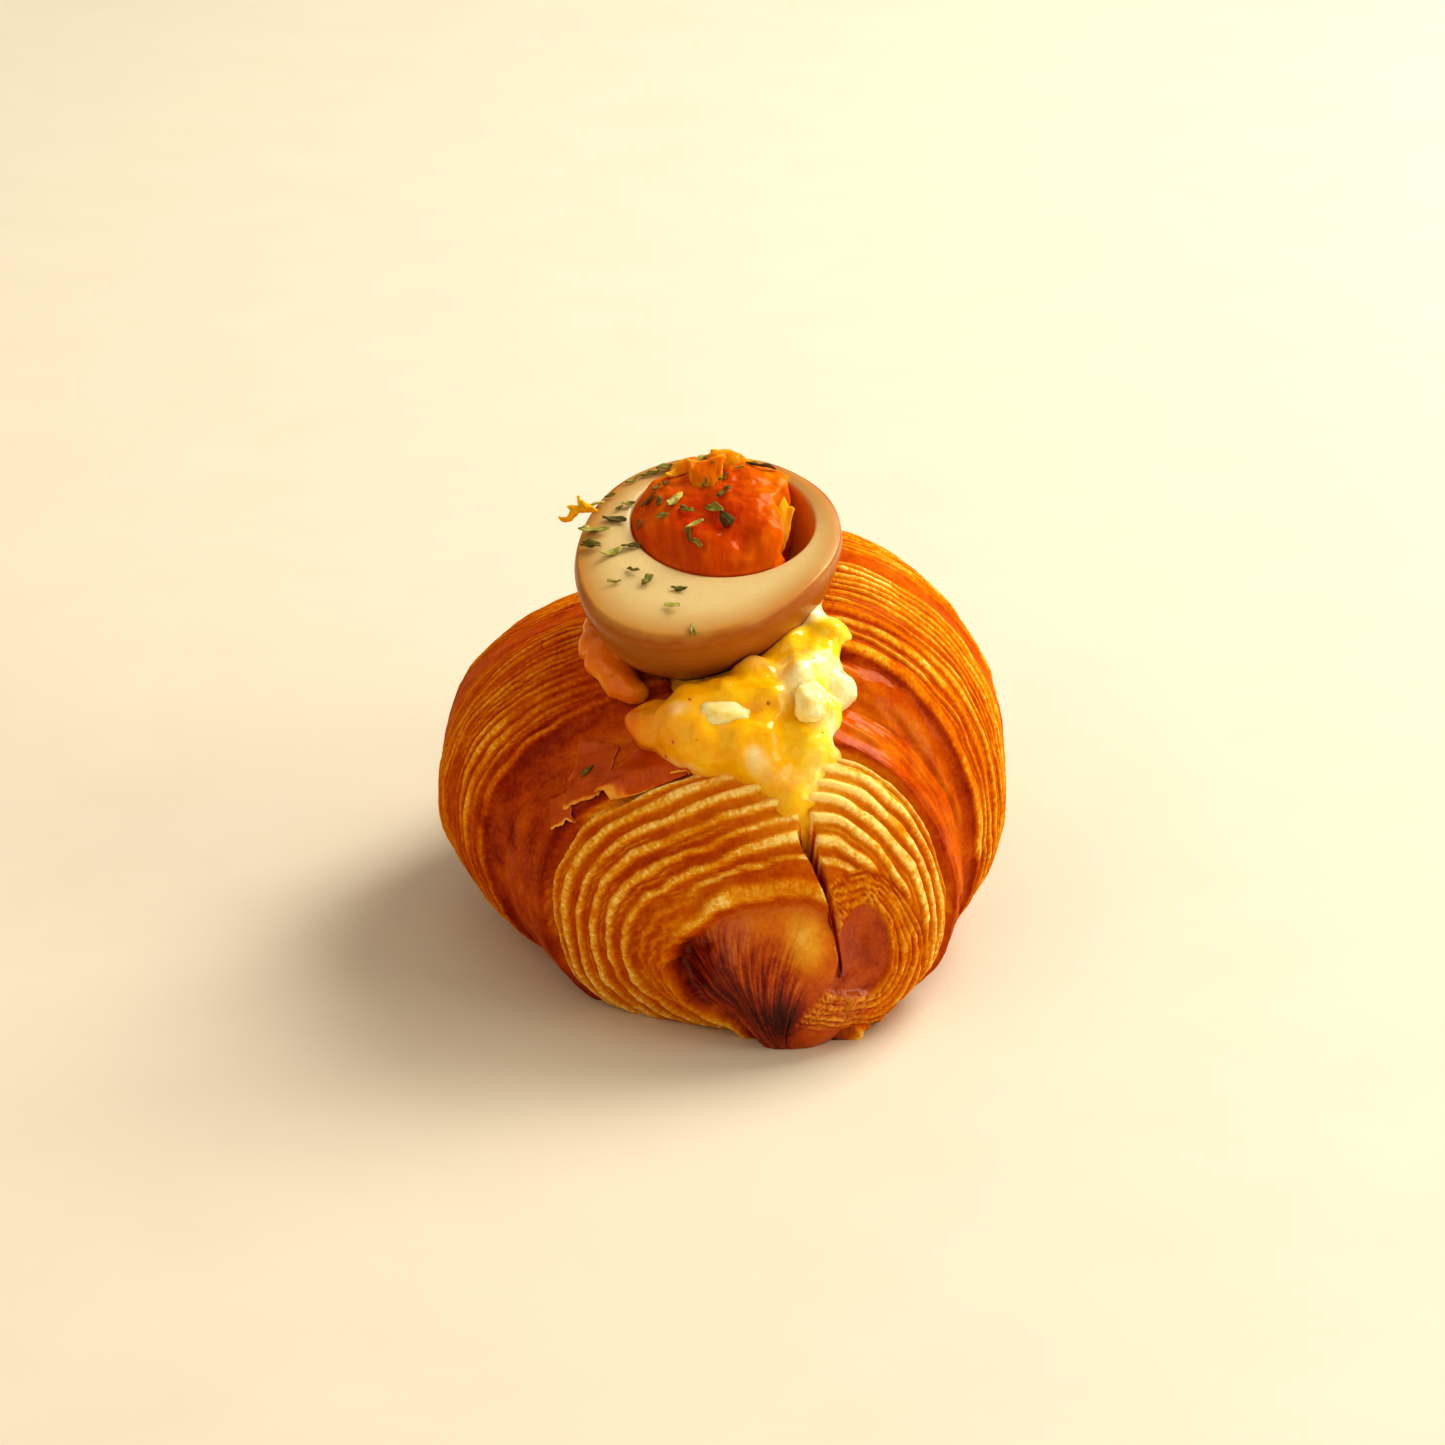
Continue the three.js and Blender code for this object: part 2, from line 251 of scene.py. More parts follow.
def studio():
    """A camera in front and above, a plain pale floor, three soft lights and a little warm air light."""
    select()
    aim = Vector(CAMERA_AIM) * MM
    elevation = math.radians(LOOKING_DOWN)
    away = Vector((0.0, -math.cos(elevation), math.sin(elevation)))
    bpy.ops.object.camera_add(location=aim + away * CAMERA_DISTANCE * MM)
    camera = bpy.context.object
    camera.rotation_euler = (math.pi / 2 - elevation, 0.0, 0.0)
    camera.data.lens = 110.0
    camera.data.sensor_width = 36.0
    camera.data.clip_start = 0.01
    bpy.context.scene.camera = camera

    bpy.ops.mesh.primitive_plane_add(size=6.0)
    floor = just_added("studio_floor")
    floor.data.materials.append(floor_material())

    softbox("key", (0.75, 0.62, 0.95), aim, 0.7, 18.8, (1.0, 0.95, 0.84))
    softbox("side", (0.95, -0.35, 0.45), aim, 0.6, 4.0, (1.0, 0.92, 0.80))
    softbox("fill", (-0.8, -0.9, 0.9), aim, 1.2, 4.0, (1.0, 0.78, 0.52))

    world = bpy.data.worlds.new("studio_air")
    bpy.context.scene.world = world
    world.use_nodes = True
    air = world.node_tree.nodes["Background"]
    air.inputs["Color"].default_value = (1.0, 0.92, 0.76, 1.0)
    air.inputs["Strength"].default_value = 0.42
    bpy.context.scene.view_settings.view_transform = "Standard"
    bpy.context.scene.view_settings.look = "Medium High Contrast"


def softbox(name, place, aim, size, power, colour):
    """A square lamp that faces the aim, with its size in metres and its power in watts."""
    bpy.ops.object.light_add(type="AREA", location=place)
    lamp = bpy.context.object
    lamp.name = name + "_softbox"
    lamp.data.size = size
    lamp.data.energy = power
    lamp.data.color = colour
    lamp.rotation_euler = (Vector(place) - aim).to_track_quat("Z", "Y").to_euler()


# ---- Material helpers ----

class Recipe:
    """A material's node tree, with short ways to add and join nodes."""

    def __init__(self, name, group=False):
        if group:
            self.tree = bpy.data.node_groups.new(name, "ShaderNodeTree")
        else:
            self.material = bpy.data.materials.new(name)
            self.material.use_nodes = True
            self.tree = self.material.node_tree
            self.tree.nodes.clear()
        self.count = 0

    def node(self, kind, **settings):
        made = self.tree.nodes.new(kind)
        made.location = (200 * (self.count % 8), -220 * (self.count // 8))
        self.count += 1
        for key, value in settings.items():
            setattr(made, key, value)
        return made

    def join(self, source, target):
        if isinstance(source, (int, float, tuple)):
            target.default_value = source
        else:
            self.tree.links.new(source, target)

    def field(self, name, kind="Fac"):
        """A value, or a vector, that note() keeps for each point."""
        return self.node("ShaderNodeAttribute", attribute_name=name).outputs[kind]

    def maths(self, operation, a, b=0.0, c=0.0, clamp=False):
        made = self.node("ShaderNodeMath", operation=operation, use_clamp=clamp)
        for source, socket in zip((a, b, c), made.inputs):
            self.join(source, socket)
        return made.outputs[0]

    def plus(self, a, b):
        return self.maths("ADD", a, b)

    def times(self, a, b, plus=None, clamp=False):
        if plus is None:
            return self.maths("MULTIPLY", a, b, clamp=clamp)
        return self.maths("MULTIPLY_ADD", a, b, plus, clamp)

    def stretch(self, vector, scale):
        made = self.node("ShaderNodeMapping")
        self.join(vector, made.inputs["Vector"])
        made.inputs["Scale"].default_value = scale
        return made.outputs[0]

    def mottle(self, mottle_scale, grain_scale):
        """Soft blotches and fine grain, fixed to the object."""
        made = self.node("ShaderNodeGroup")
        made.node_tree = mottle_and_grain()
        self.join(self.node("ShaderNodeTexCoord").outputs["Object"], made.inputs["Position"])
        self.join(mottle_scale, made.inputs["Mottle Scale"])
        self.join(grain_scale, made.inputs["Grain Scale"])
        return made.outputs["Mottle"], made.outputs["Grain"]

    def noise(self, vector, scale, detail=3.0, roughness=0.5, distortion=0.0):
        made = self.node("ShaderNodeTexNoise")
        self.join(vector, made.inputs["Vector"])
        self.join(scale, made.inputs["Scale"])
        made.inputs["Detail"].default_value = detail
        made.inputs["Roughness"].default_value = roughness
        made.inputs["Distortion"].default_value = distortion
        return made.outputs["Fac"]

    def spread(self, value, low, high, to_low=0.0, to_high=1.0):
        made = self.node("ShaderNodeMapRange", clamp=True)
        self.join(value, made.inputs["Value"])
        for name, number in zip(("From Min", "From Max", "To Min", "To Max"), (low, high, to_low, to_high)):
            made.inputs[name].default_value = number
        return made.outputs[0]

    def even(self, noise, to_low, to_high):
        """A noise, which stays mostly between 0.3 and 0.7, turned to a range of its own."""
        return self.spread(noise, 0.3, 0.7, to_low, to_high)

    def ramp(self, value, stops):
        made = self.node("ShaderNodeValToRGB")
        ends = made.color_ramp.elements
        ends[0].position, ends[1].position = stops[0][0], stops[-1][0]
        ends[0].color, ends[1].color = (*stops[0][1], 1.0), (*stops[-1][1], 1.0)
        for place, colour in stops[1:-1]:
            ends.new(place).color = (*colour, 1.0)
        self.join(value, made.inputs["Fac"])
        return made.outputs["Color"]

    def blend(self, share, first, second):
        made = self.node("ShaderNodeMix", data_type="RGBA", blend_type="MIX")
        self.join(share, made.inputs["Factor"])
        colours = [s for s in made.inputs if s.type == "RGBA"]
        for source, socket in zip((first, second), colours):
            self.join(source if not isinstance(source, tuple) else (*source, 1.0), socket)
        return [s for s in made.outputs if s.type == "RGBA"][0]

    def bumps(self, *layers):
        """One bump over another, each a height, a strength and a distance in millimetres."""
        normal = None
        for height, strength, distance in layers:
            made = self.node("ShaderNodeBump")
            made.inputs["Strength"].default_value = strength
            made.inputs["Distance"].default_value = distance * MM
            self.join(height, made.inputs["Height"])
            if normal is not None:
                self.join(normal, made.inputs["Normal"])
            normal = made.outputs["Normal"]
        return normal

    def surface(self, colour, roughness, normal=None, **settings):
        shader = self.node("ShaderNodeBsdfPrincipled")
        self.join(colour, shader.inputs["Base Color"])
        self.join(roughness, shader.inputs["Roughness"])
        if normal is not None:
            self.join(normal, shader.inputs["Normal"])
        for name, value in settings.items():
            self.join(value, shader.inputs[name.replace("_", " ")])
        out = self.node("ShaderNodeOutputMaterial")
        self.tree.links.new(shader.outputs[0], out.inputs["Surface"])
        return self.material


def mottle_and_grain():
    """The blotches and the grain that all the materials share, as one node group."""
    name = "mottle_and_grain"
    if name in bpy.data.node_groups:
        return bpy.data.node_groups[name]
    mix = Recipe(name, group=True)
    sides = mix.tree.interface
    sides.new_socket("Position", in_out="INPUT", socket_type="NodeSocketVector")
    for side, sockets in (("INPUT", ("Mottle Scale", "Grain Scale")), ("OUTPUT", ("Mottle", "Grain"))):
        for socket in sockets:
            sides.new_socket(socket, in_out=side, socket_type="NodeSocketFloat")
    given = mix.node("NodeGroupInput").outputs
    made = mix.node("NodeGroupOutput").inputs
    mix.join(mix.noise(given["Position"], given["Mottle Scale"], 3.5, 0.55), made["Mottle"])
    mix.join(mix.noise(given["Position"], given["Grain Scale"], 2.0, 0.5), made["Grain"])
    return mix.tree


def floor_material():
    mix = Recipe("pale_floor")
    soft = mix.mottle(40.0, 400.0)[0]
    colour = mix.ramp(soft, ((0.3, (0.69, 0.63, 0.51)), (0.7, (0.71, 0.65, 0.53))))
    return mix.surface(colour, 0.6)


# ---- Pastry: the baked sheet ----

def girth(t):
    """The share of the full girth at t, which runs from -1 at the front tip to 1 at the back tip."""
    fullest = np.zeros(np.shape(t))
    for reach, fullness, shoulder, nose in WRAPS:
        share = np.minimum(1.0, np.abs(t) / reach)
        fullest = np.maximum(fullest, fullness * (1.0 - share ** shoulder) ** (1.0 / nose))
    return fullest


def spine_x(t):
    """How far the middle of the ring at t lies to +X, where both tips bend."""
    return np.where(t < 0, FRONT_BEND, BACK_BEND) * np.abs(t) ** SPINE_POWER


def plain_pastry(t, angle):
    """The smooth body: x, y and z at t from tip to tip and an angle round the ring from +X."""
    side, up = np.cos(angle), np.sin(angle)
    size = girth(t)
    x = HALF_WIDTH * size * squarer(side, SQUARENESS)
    middle = TIP_HEIGHT + (WIDEST_HEIGHT - TIP_HEIGHT) * size
    above = (CREST - WIDEST_HEIGHT) * size
    below = (middle + FOOT_DIP) * (1.0 - (1.0 - size) ** 6)
    tilt = 1.0 + LOBE_TILT * np.tanh(3.0 * x / HALF_WIDTH) * np.maximum(0.0, up)
    z = (middle + np.where(up > 0, above, below) * squarer(up, SQUARENESS)) * tilt
    half = np.where(t < 0, FRONT_HALF, BACK_HALF)
    y = t * half + RING_LEAN * z * np.tanh(2.0 * t) + BELLY_Y
    return x + spine_x(t), y, z


def layer_place(y, z):
    """Where a point lies across the layers, which bow outwards a little at half height."""
    bow = 1.8 * (1.0 - np.clip((z - 24.0) / 26.0, -1.0, 1.0) ** 2)
    near_belly = 0.28 * np.clip(46.0 - z, 0.0, 30.0) * (1.0 - smooth(4.0, 17.0, np.abs(y - BELLY_Y)))
    return y + np.where(y < BELLY_Y, 1.0, -1.0) * (bow + near_belly)


def edges(start, widths, seed, uneven):
    """The lines between layers: start, then steps of the given widths, made a little uneven."""
    rng = np.random.default_rng(seed)
    steps = np.array(widths) * (1.0 + uneven * rng.uniform(-1.0, 1.0, len(widths)))
    steps *= np.sum(widths) / np.sum(steps)
    return start + np.concatenate([[0.0], np.cumsum(steps)])


def layered(place, lines, ridge_share, seed, angle):
    """Height of the layers' ridges from 0 to 1, and each layer's own random value."""
    index = np.clip(np.searchsorted(lines, place) - 1, 0, len(lines) - 2)
    share = np.clip((place - lines[index]) / (lines[index + 1] - lines[index]), 0.0, 1.0)
    own = hashed(index, index * 0, index * 0, seed)
    width = ridge_share * (0.75 + 0.5 * own) + 0.16 * waves(angle * 2.2, index * 7.3, 0, seed + 5)
    rise = smooth(0.0, 0.2, share)
    fall = 1.0 - smooth(width - 0.1, width + 0.16, share)
    # Here and there a thinner layer shows behind the first, and the first one breaks off.
    second = np.exp(-((share - 0.84) / 0.07) ** 2)
    second = second * smooth(-0.1, 0.35, waves(angle * 2.6, index * 3.7, 0, seed + 6))
    broken = 0.62 + 0.38 * smooth(-0.55, -0.15, waves(angle * 5.5, index * 9.1, 0, seed + 7))
    return np.clip(rise * fall * broken + 0.55 * second, 0.0, 1.0), own


def band(place, low, high, soft=0.35):
    """1 between two lines across the layers and 0 outside, with soft edges."""
    return smooth(low - soft, low + soft, place) * (1.0 - smooth(high - soft, high + soft, place))


def step(place, edge, height, reach):
    """A layer's edge: raised on the belly's side of the edge, and dropping off beyond it."""
    beyond = np.where(edge < BELLY_Y, place - edge, edge - place)
    return height * smooth(-0.5, 0.25, beyond) * np.exp(-np.clip(beyond, 0.0, None) / reach)


def groove(place, at, depth, width):
    """A soft groove along a line across the layers."""
    return -depth * np.exp(-((place - at) / width) ** 2)


def lips(t):
    """The slit's middle line, half width and depth at each ring."""
    crest_y = t * np.where(t < 0, FRONT_HALF, BACK_HALF) + RING_LEAN * CREST * girth(t) * np.tanh(2.0 * t)
    share = np.where(t < 0, -crest_y / SLIT_FRONT, crest_y / SLIT_BACK)
    ring = np.sqrt(np.clip(1.0 - share ** 2, 0.0, 1.0))
    half = SLIT_HALF_WIDTH * ring ** 1.3
    depth = np.clip((CREST - SLIT_FLOOR) * ring ** 0.7 - (1.0 - girth(t)) * CREST * 0.6, 0.0, None)
    along = (CRACK_START - t) / (CRACK_START - CRACK_END)
    cracked = smooth(-0.6, 0.0, along) * (t < 0)
    open_share = np.clip(1.0 - along, 0.0, 1.0)
    half = np.maximum(half, cracked * (CRACK_HALF_WIDTH * open_share ** 0.8))
    depth = np.maximum(depth, cracked * CRACK_DEPTH * open_share ** 0.6)
    bend = np.clip(share, 0.0, 1.05) ** 2
    centre = SLIT_TURN * bend + CRACK_SIDESTEP * smooth(0.0, 1.0, along) * (t < 0)
    return centre, np.maximum(half, 0.35), depth


def ear_distance(x, y, z):
    """How far a point is outside the hollow at the right of the front tip, seen from the front."""
    across = x - EAR_MIDDLE[0]
    upward = CAMERA_SEES[0] * z + CAMERA_SEES[1] * y - EAR_MIDDLE[1]
    across = np.where(across < 0, across * (0.3 + 0.7 * smooth(-5.0, 1.0, upward)), across)
    away = np.hypot(across, upward) + 1e-6
    hollow = 1.0 / np.sqrt((across / away / EAR_SIZE[0]) ** 2 + (upward / away / EAR_SIZE[1]) ** 2)
    return away - hollow


def laid_out(piece):
    """Each point's place on the smooth pastry, with the slit's edges along lines of the mesh."""
    unit = coordinates(piece)
    row = 1.0 - 2.0 * np.arccos(np.clip(unit[:, 1], -1.0, 1.0)) / math.pi
    turn = np.arctan2(unit[:, 2], unit[:, 0]) / (2.0 * math.pi)
    onpole = np.hypot(unit[:, 0], unit[:, 2]) < 1e-5
    column = np.round((turn % 1.0) * COLUMNS) % COLUMNS
    t = 1.125 * row - 0.125 * row ** 9

    size = girth(t)
    centre, half, depth = lips(t)
    crest_line = plain_pastry(t, np.full(t.shape, math.pi / 2))
    layer_here = layer_place(crest_line[1], crest_line[2])
    jag = 1.5 * (hashed(np.floor(layer_here / 1.9), 0 * t, 0 * t, 3) - 0.35)
    jag *= (1.0 - smooth(-46.0, -40.0, layer_here)) * smooth(-1.0, -0.9, t)
    jag += 0.4 * waves(layer_here * 0.4, 0 * t, 0, 8) + 0.2 * waves(layer_here * 2.2, 0 * t, 0, 9)
    jag *= smooth(0.4, 1.5, half)

    def ring_angle(x):
        relative = np.clip((x - spine_x(t)) / np.maximum(HALF_WIDTH * size, 1e-3), -0.97, 0.97)
        return np.arccos(np.clip(np.sign(relative) * np.abs(relative) ** 1.1, -1.0, 1.0))

    right = ring_angle(centre + half + 0.3 * jag)
    left = ring_angle(centre - half - jag)
    first = COLUMNS // 4 - SLIT_COLUMNS // 2
    last = first + SLIT_COLUMNS
    inside = (column > first) & (column < last)
    across = np.clip((column - first) / SLIT_COLUMNS, 0.0, 1.0)
    outer = ((column - last) % COLUMNS) / (COLUMNS - SLIT_COLUMNS)
    # Outside the slit the columns are even in angle from its left edge round the underside.
    outside = left + outer * (2 * math.pi - left + right)
    angle = np.where(inside, right + across * (left - right), outside)
    angle = np.where(onpole, math.pi / 2, angle)

    x, y, z = plain_pastry(t, angle)
    x = np.where(onpole, spine_x(t), x)
    z = np.where(onpole, TIP_HEIGHT, z)
    from_left, from_right = (column - last) % COLUMNS, (first - column) % COLUMNS
    lip = np.exp(-(np.minimum(from_left, from_right) / 6.0) ** 2) * smooth(0.4, 1.5, half)
    return dict(lip=lip, angle=angle % (2 * math.pi), x=x, y=y, z=z, inside=inside, across=across,
                half=half, depth=depth, size=size, onpole=onpole, rightward=np.cos(angle))


def outward(piece, points):
    """Outward normals of the shape that the points make."""
    set_coordinates(piece, points)
    flat = np.empty(len(piece.data.vertices) * 3)
    piece.data.vertices.foreach_get("normal", flat)
    return flat.reshape(-1, 3)


# Where the bands of layers end, from the belly towards each tip, in the frame's own Y.
FLANK_TOP, FLANK_END = -6.0, -29.2
HORN_START, HORN_END = -42.2, -55.6
BACK_TOP, BACK_END = -1.0, 15.0
FAR_START, FAR_END = 22.0, 46.0


# Where the crack bounds the rolled end: heights, and X at each.
EAR_EDGE = ((0.0, 5.0, 8.0, 12.0, 16.0, 25.0, 33.0), (9.5, 10.0, 13.0, 16.5, 17.6, 15.6, 13.2))

# Painted shade and painted highlight on the front tip: darker spots of painted shade in the neck and low on
# the tip, and paler spots higher on the tip that are amber glaze with painted highlight. Each gives how
# much, then the middle and the reach across and up.
NECK_PAINTED_SHADE = ((-0.24, (-6.0, 7.0), (5.0, 6.0)), (-0.20, (4.0, 6.0), (5.5, 6.0)))
TIP_GLAZE_SHADE_AND_HIGHLIGHT = (
    (-0.30, (9.5, 6.0), (2.8, 5.0)), (0.42, (12.5, 18.0), (3.6, 5.0)), (0.14, (5.0, 20.0), (6.0, 4.5)),
)


def pastry():
    """The croissant itself: layers, glazed bands, tips, slit and crack, all in the mesh."""
    piece = ball("glazed_pastry", COLUMNS, ROWS)
    f = laid_out(piece)
    angle, x, y, z = f["angle"], f["x"], f["y"], f["z"]
    points = table(x, y, z)
    normals = outward(piece, points)
    front = (y < BELLY_Y) * 1.0
    on_right = smooth(0.0, 0.35, f["rightward"])

    place = layer_place(y, z)
    wander = 0.45 * waves(angle * 1.6, place * 0.10, 0, 21) + 0.20 * waves(angle * 7.0, place * 0.35, 0, 22)
    place = place + wander + 0.10 * waves(angle * 17.0, place * 0.6, 0, 23)

    # The belly's layers are finer on the left than on the right.
    fine_lines = edges(FLANK_END, [1.7, 1.4, 1.55] * 5, 31, 0.3)
    wide_lines = edges(FLANK_END, [2.2, 1.9, 2.1] * 4, 31, 0.25)
    fine_flank, _ = layered(place, fine_lines, 0.5, 41, angle)
    wide_flank, flank_own = layered(place, wide_lines, 0.5, 41, angle)
    flank = fine_flank * (1 - on_right) + wide_flank * on_right
    horn_lines = edges(HORN_END, [2.1, 0.9, 1.7, 1.75, 1.8, 1.75, 1.8, 1.7], 32, 0.06)
    horn, horn_own = layered(place, horn_lines, 0.55, 42, angle)
    back, back_own = layered(place, edges(BACK_TOP, [2.1, 1.9] * 4, 33, 0.25), 0.6, 43, angle)
    far, far_own = layered(place, edges(FAR_START, [2.0] * 12, 34, 0.2), 0.72, 44, angle)
    in_flank = band(place, FLANK_END, FLANK_TOP) * front
    in_horn = band(place, HORN_END, HORN_START, 0.2)
    in_back = band(place, BACK_TOP, BACK_END) * (1 - front)
    in_far = band(place, FAR_START, FAR_END)
    in_tip = 1 - smooth(HORN_END - 0.3, HORN_END + 0.1, place)
    in_far_tip = smooth(FAR_END - 0.3, FAR_END + 0.3, place)

    # The rolled end shows its layers as rings round a hollow at the right of the front tip.
    distance = ear_distance(x, y, z) + 0.3 * waves(angle * 3.0, y * 0.3, 0, 24)
    ear_edge = np.interp(z, EAR_EDGE[0], EAR_EDGE[1])
    past_crack = smooth(-0.3, 0.9, x - ear_edge)
    in_ear = past_crack * (1 - smooth(5.2, 6.0, distance)) * front * smooth(-46.0, -49.0, y)
    ear, _ = layered(distance, edges(0.3, [0.85] * 8, 36, 0.25), 0.6, 46, angle)
    hollow = in_ear * (1 - smooth(0.0, 0.6, distance))
    in_ear_layers = in_ear * smooth(0.2, 0.7, distance)

    # In places the layers have baked together.
    patchy = np.clip(0.56 + 0.45 * waves(angle * 3.0, place * 0.4, 0, 51) + 0.45 * on_right, 0.2, 1.0)
    outer = 1 - in_ear
    # The last ridge before the tip thins out towards the left into fine lines.
    worn = (1 - smooth(-9.0, -1.0, x)) * (1 - smooth(horn_lines[1], horn_lines[2] + 0.4, place)) * in_horn
    thin, _ = layered(place, edges(HORN_END - 3.0, [0.75] * 9, 37, 0.3), 0.5, 47, angle)
    horn = horn * (1 - worn) + 0.45 * thin * worn
    ridge = (flank * in_flank + back * in_back) * patchy + (horn * in_horn + far * in_far) * outer
    ridge += ear * in_ear_layers * 0.8
    layered_here = np.clip((in_flank + in_horn + in_back + in_far) * outer + in_ear_layers, 0, 1)
    own = flank_own * in_flank + horn_own * in_horn + back_own * in_back + far_own * in_far

    relief = 0.5 * (flank * in_flank + back * in_back) * patchy * outer
    relief += 0.75 * (horn * in_horn + far * in_far) * outer
    dip = np.exp(-np.clip(distance + 3.5, 0, None) / 4.0)
    relief += 0.6 * ear * in_ear_layers - 1.6 * hollow * dip
    relief += outer * (
        step(place, HORN_START, 1.5, 7.0) + groove(place, HORN_START - 0.5, 1.0, 0.5) * front
        + step(place, HORN_END, 1.2, 5.0) * front + groove(place, HORN_END - 0.5, 0.8, 0.5) * front
        + groove(place, horn_lines[1] + 0.45, 1.0, 0.4) + step(place, FLANK_END, 0.6, 5.0)
        + (step(place, FAR_START - 1.0, 1.2, 6.0) + step(place, FAR_END, 1.2, 6.0)) * (1 - front))
    # The crust's blisters and waves.
    relief += 0.4 * rough(x / 12, y / 10, z / 12, 61, 2)
    relief += 0.16 * rough(x / 3.0, y / 2.6, z / 3.0, 64, 3)
    # The neck and the round end of the front tip, with pleats that run to its point.
    tip_left = in_tip * (1 - np.clip(past_crack, 0, 1))
    relief = relief - 2.2 * tip_left * spot(x, z, (-5.5, 9.0), (3.8, 8.0))
    relief += 1.3 * tip_left * spot(x, z, (5.0, 9.0), (4.5, 6.0))
    # Soft wrinkles in the smooth glazed band on the right.
    glazed = band(place, HORN_START, FLANK_END, 0.8)
    creased = waves(place / 2.0, angle * 2.2, 0, 75) * 0.45 + waves(place / 0.9, angle * 6.0, 0, 76) * 0.3
    relief += creased * glazed * (0.25 + 0.75 * on_right)
    fan = np.arctan2(z + 1.5, x - TIP_POINT_X) + 0.02 * (z - 8.0)
    pleats = np.abs(waves(fan * 15.0, 0.10 * z, 0, 71)) ** 0.5
    in_pleats = tip_left * smooth(-9.0, -3.0, x) * (1 - smooth(14.0, 21.0, z)) * (1 - smooth(10.0, 13.0, x))
    creases = (1 - pleats) * in_pleats
    relief = relief - 0.45 * creases
    far_pleats = np.abs(waves(angle * 12.0, place * 0.06, 0, 73)) ** 0.6
    relief = relief - 0.6 * (1 - far_pleats) * in_far_tip * smooth(0.02, 0.3, f["size"])
    relief = relief * (1 - f["onpole"])

    inside = f["inside"]
    edge = np.clip(1.0 - np.abs(f["across"] * 2.0 - 1.0), 0.0, 1.0) * inside
    open_slit = smooth(0.2, 1.5, f["depth"])
    relief = relief * (1 - smooth(0.0, 0.12, edge) * open_slit)
    points = points + normals * relief[:, None]
    sunk = f["depth"] * smooth(0.0, 0.75, edge) ** 0.8 * (1.0 + 0.12 * rough(x / 3.0, y / 2.0, 0, 81, 2))
    points[:, 2] = points[:, 2] - sunk
    # Between the tip and the belly the horn stands clear of the table.
    arch = 5.5 * smooth(-46.0, -55.0, y) * (1 - smooth(1.0, 8.0, x))
    points[:, 2] = points[:, 2] + arch * np.clip(1 - points[:, 2] / FLAT_HEIGHT, 0, 1)

    # The underside lies flat on the table.
    points[:, 2] = np.maximum(points[:, 2], 0.0)
    set_coordinates(piece, points * MM)

    # Tones: 0 is burnt, 1 is pale.
    near_edges = np.minimum(np.abs(place - HORN_START), np.abs(place - FLANK_END))
    tone = 0.37 + 0.06 * rough(x / 14, y / 12, z / 12, 91, 3) + 0.05 * on_right * in_flank
    tone += 0.06 * in_horn * outer + 0.02 * in_flank + 0.07 * smooth(-13.0, -6.0, y) * front
    tone = tone - 0.10 * (1 - smooth(0.0, 3.0, near_edges)) * (1 - in_horn)
    # Painted shade: the glazed band is darker on its left side.
    tone = tone - 0.05 * band(place, HORN_START, FLANK_END) * (1 - on_right)
    # Painted shade: the ear's hollow is darker.
    tone = tone - 0.02 * in_ear_layers - 0.07 * hollow - 0.04 * in_tip * outer
    # Painted shade: the pleats' creases on the front tip are darker.
    tone = tone - 0.22 * creases + 0.05 * in_pleats + 0.16 * f["lip"] * in_horn
    # Painted light and shade: the glazed band's wrinkles are paler where they rise and darker where they
    # sink.
    tone += 0.10 * creased * glazed
    # Painted shade in the neck and low on the tip, and painted highlight with the amber glaze higher up.
    for where, spots in ((tip_left, NECK_PAINTED_SHADE), (in_tip, TIP_GLAZE_SHADE_AND_HIGHLIGHT)):
        for amount, middle, reach in spots:
            tone += amount * where * spot(x, z, middle, reach)
    in_crack = 1 - smooth(2.0, 4.0, f["half"])
    crumb = smooth(0.02, 0.15, edge) * smooth(1.5, 5.0, f["depth"]) * (1 - in_crack)
    # Painted shade: darker down inside the narrow crack.
    tone = tone - 0.10 * in_crack * smooth(0.05, 0.4, edge) * open_slit
    # Painted light: the horn is paler towards its top and on its right side.
    tone += 0.13 * in_horn * smooth(27.0, 38.0, z) + 0.03 * in_horn * on_right
    tone += 0.02 * glazed - 0.05 * in_flank * on_right
    tone += 0.05 * rough(x / 4.0, y / 4.0, z / 4.0, 93, 2) * glazed
    shiny = 0.8 * in_tip + 0.8 * hollow + 0.12 * glazed + 0.2 * in_far_tip
    note(piece, layers=table(angle * 36.0, place, own), ridge=np.clip(ridge, 0, 1.2),
         layered=layered_here, tone=tone, crumb=crumb, shiny=np.clip(shiny, 0, 1),
         pleats=table(fan * 30.0, z * 0.12, in_pleats), sunk=smooth(0.0, 0.35, edge) * open_slit)
    finish(piece, crust_material(), ("croissant_pastry",))
    return piece


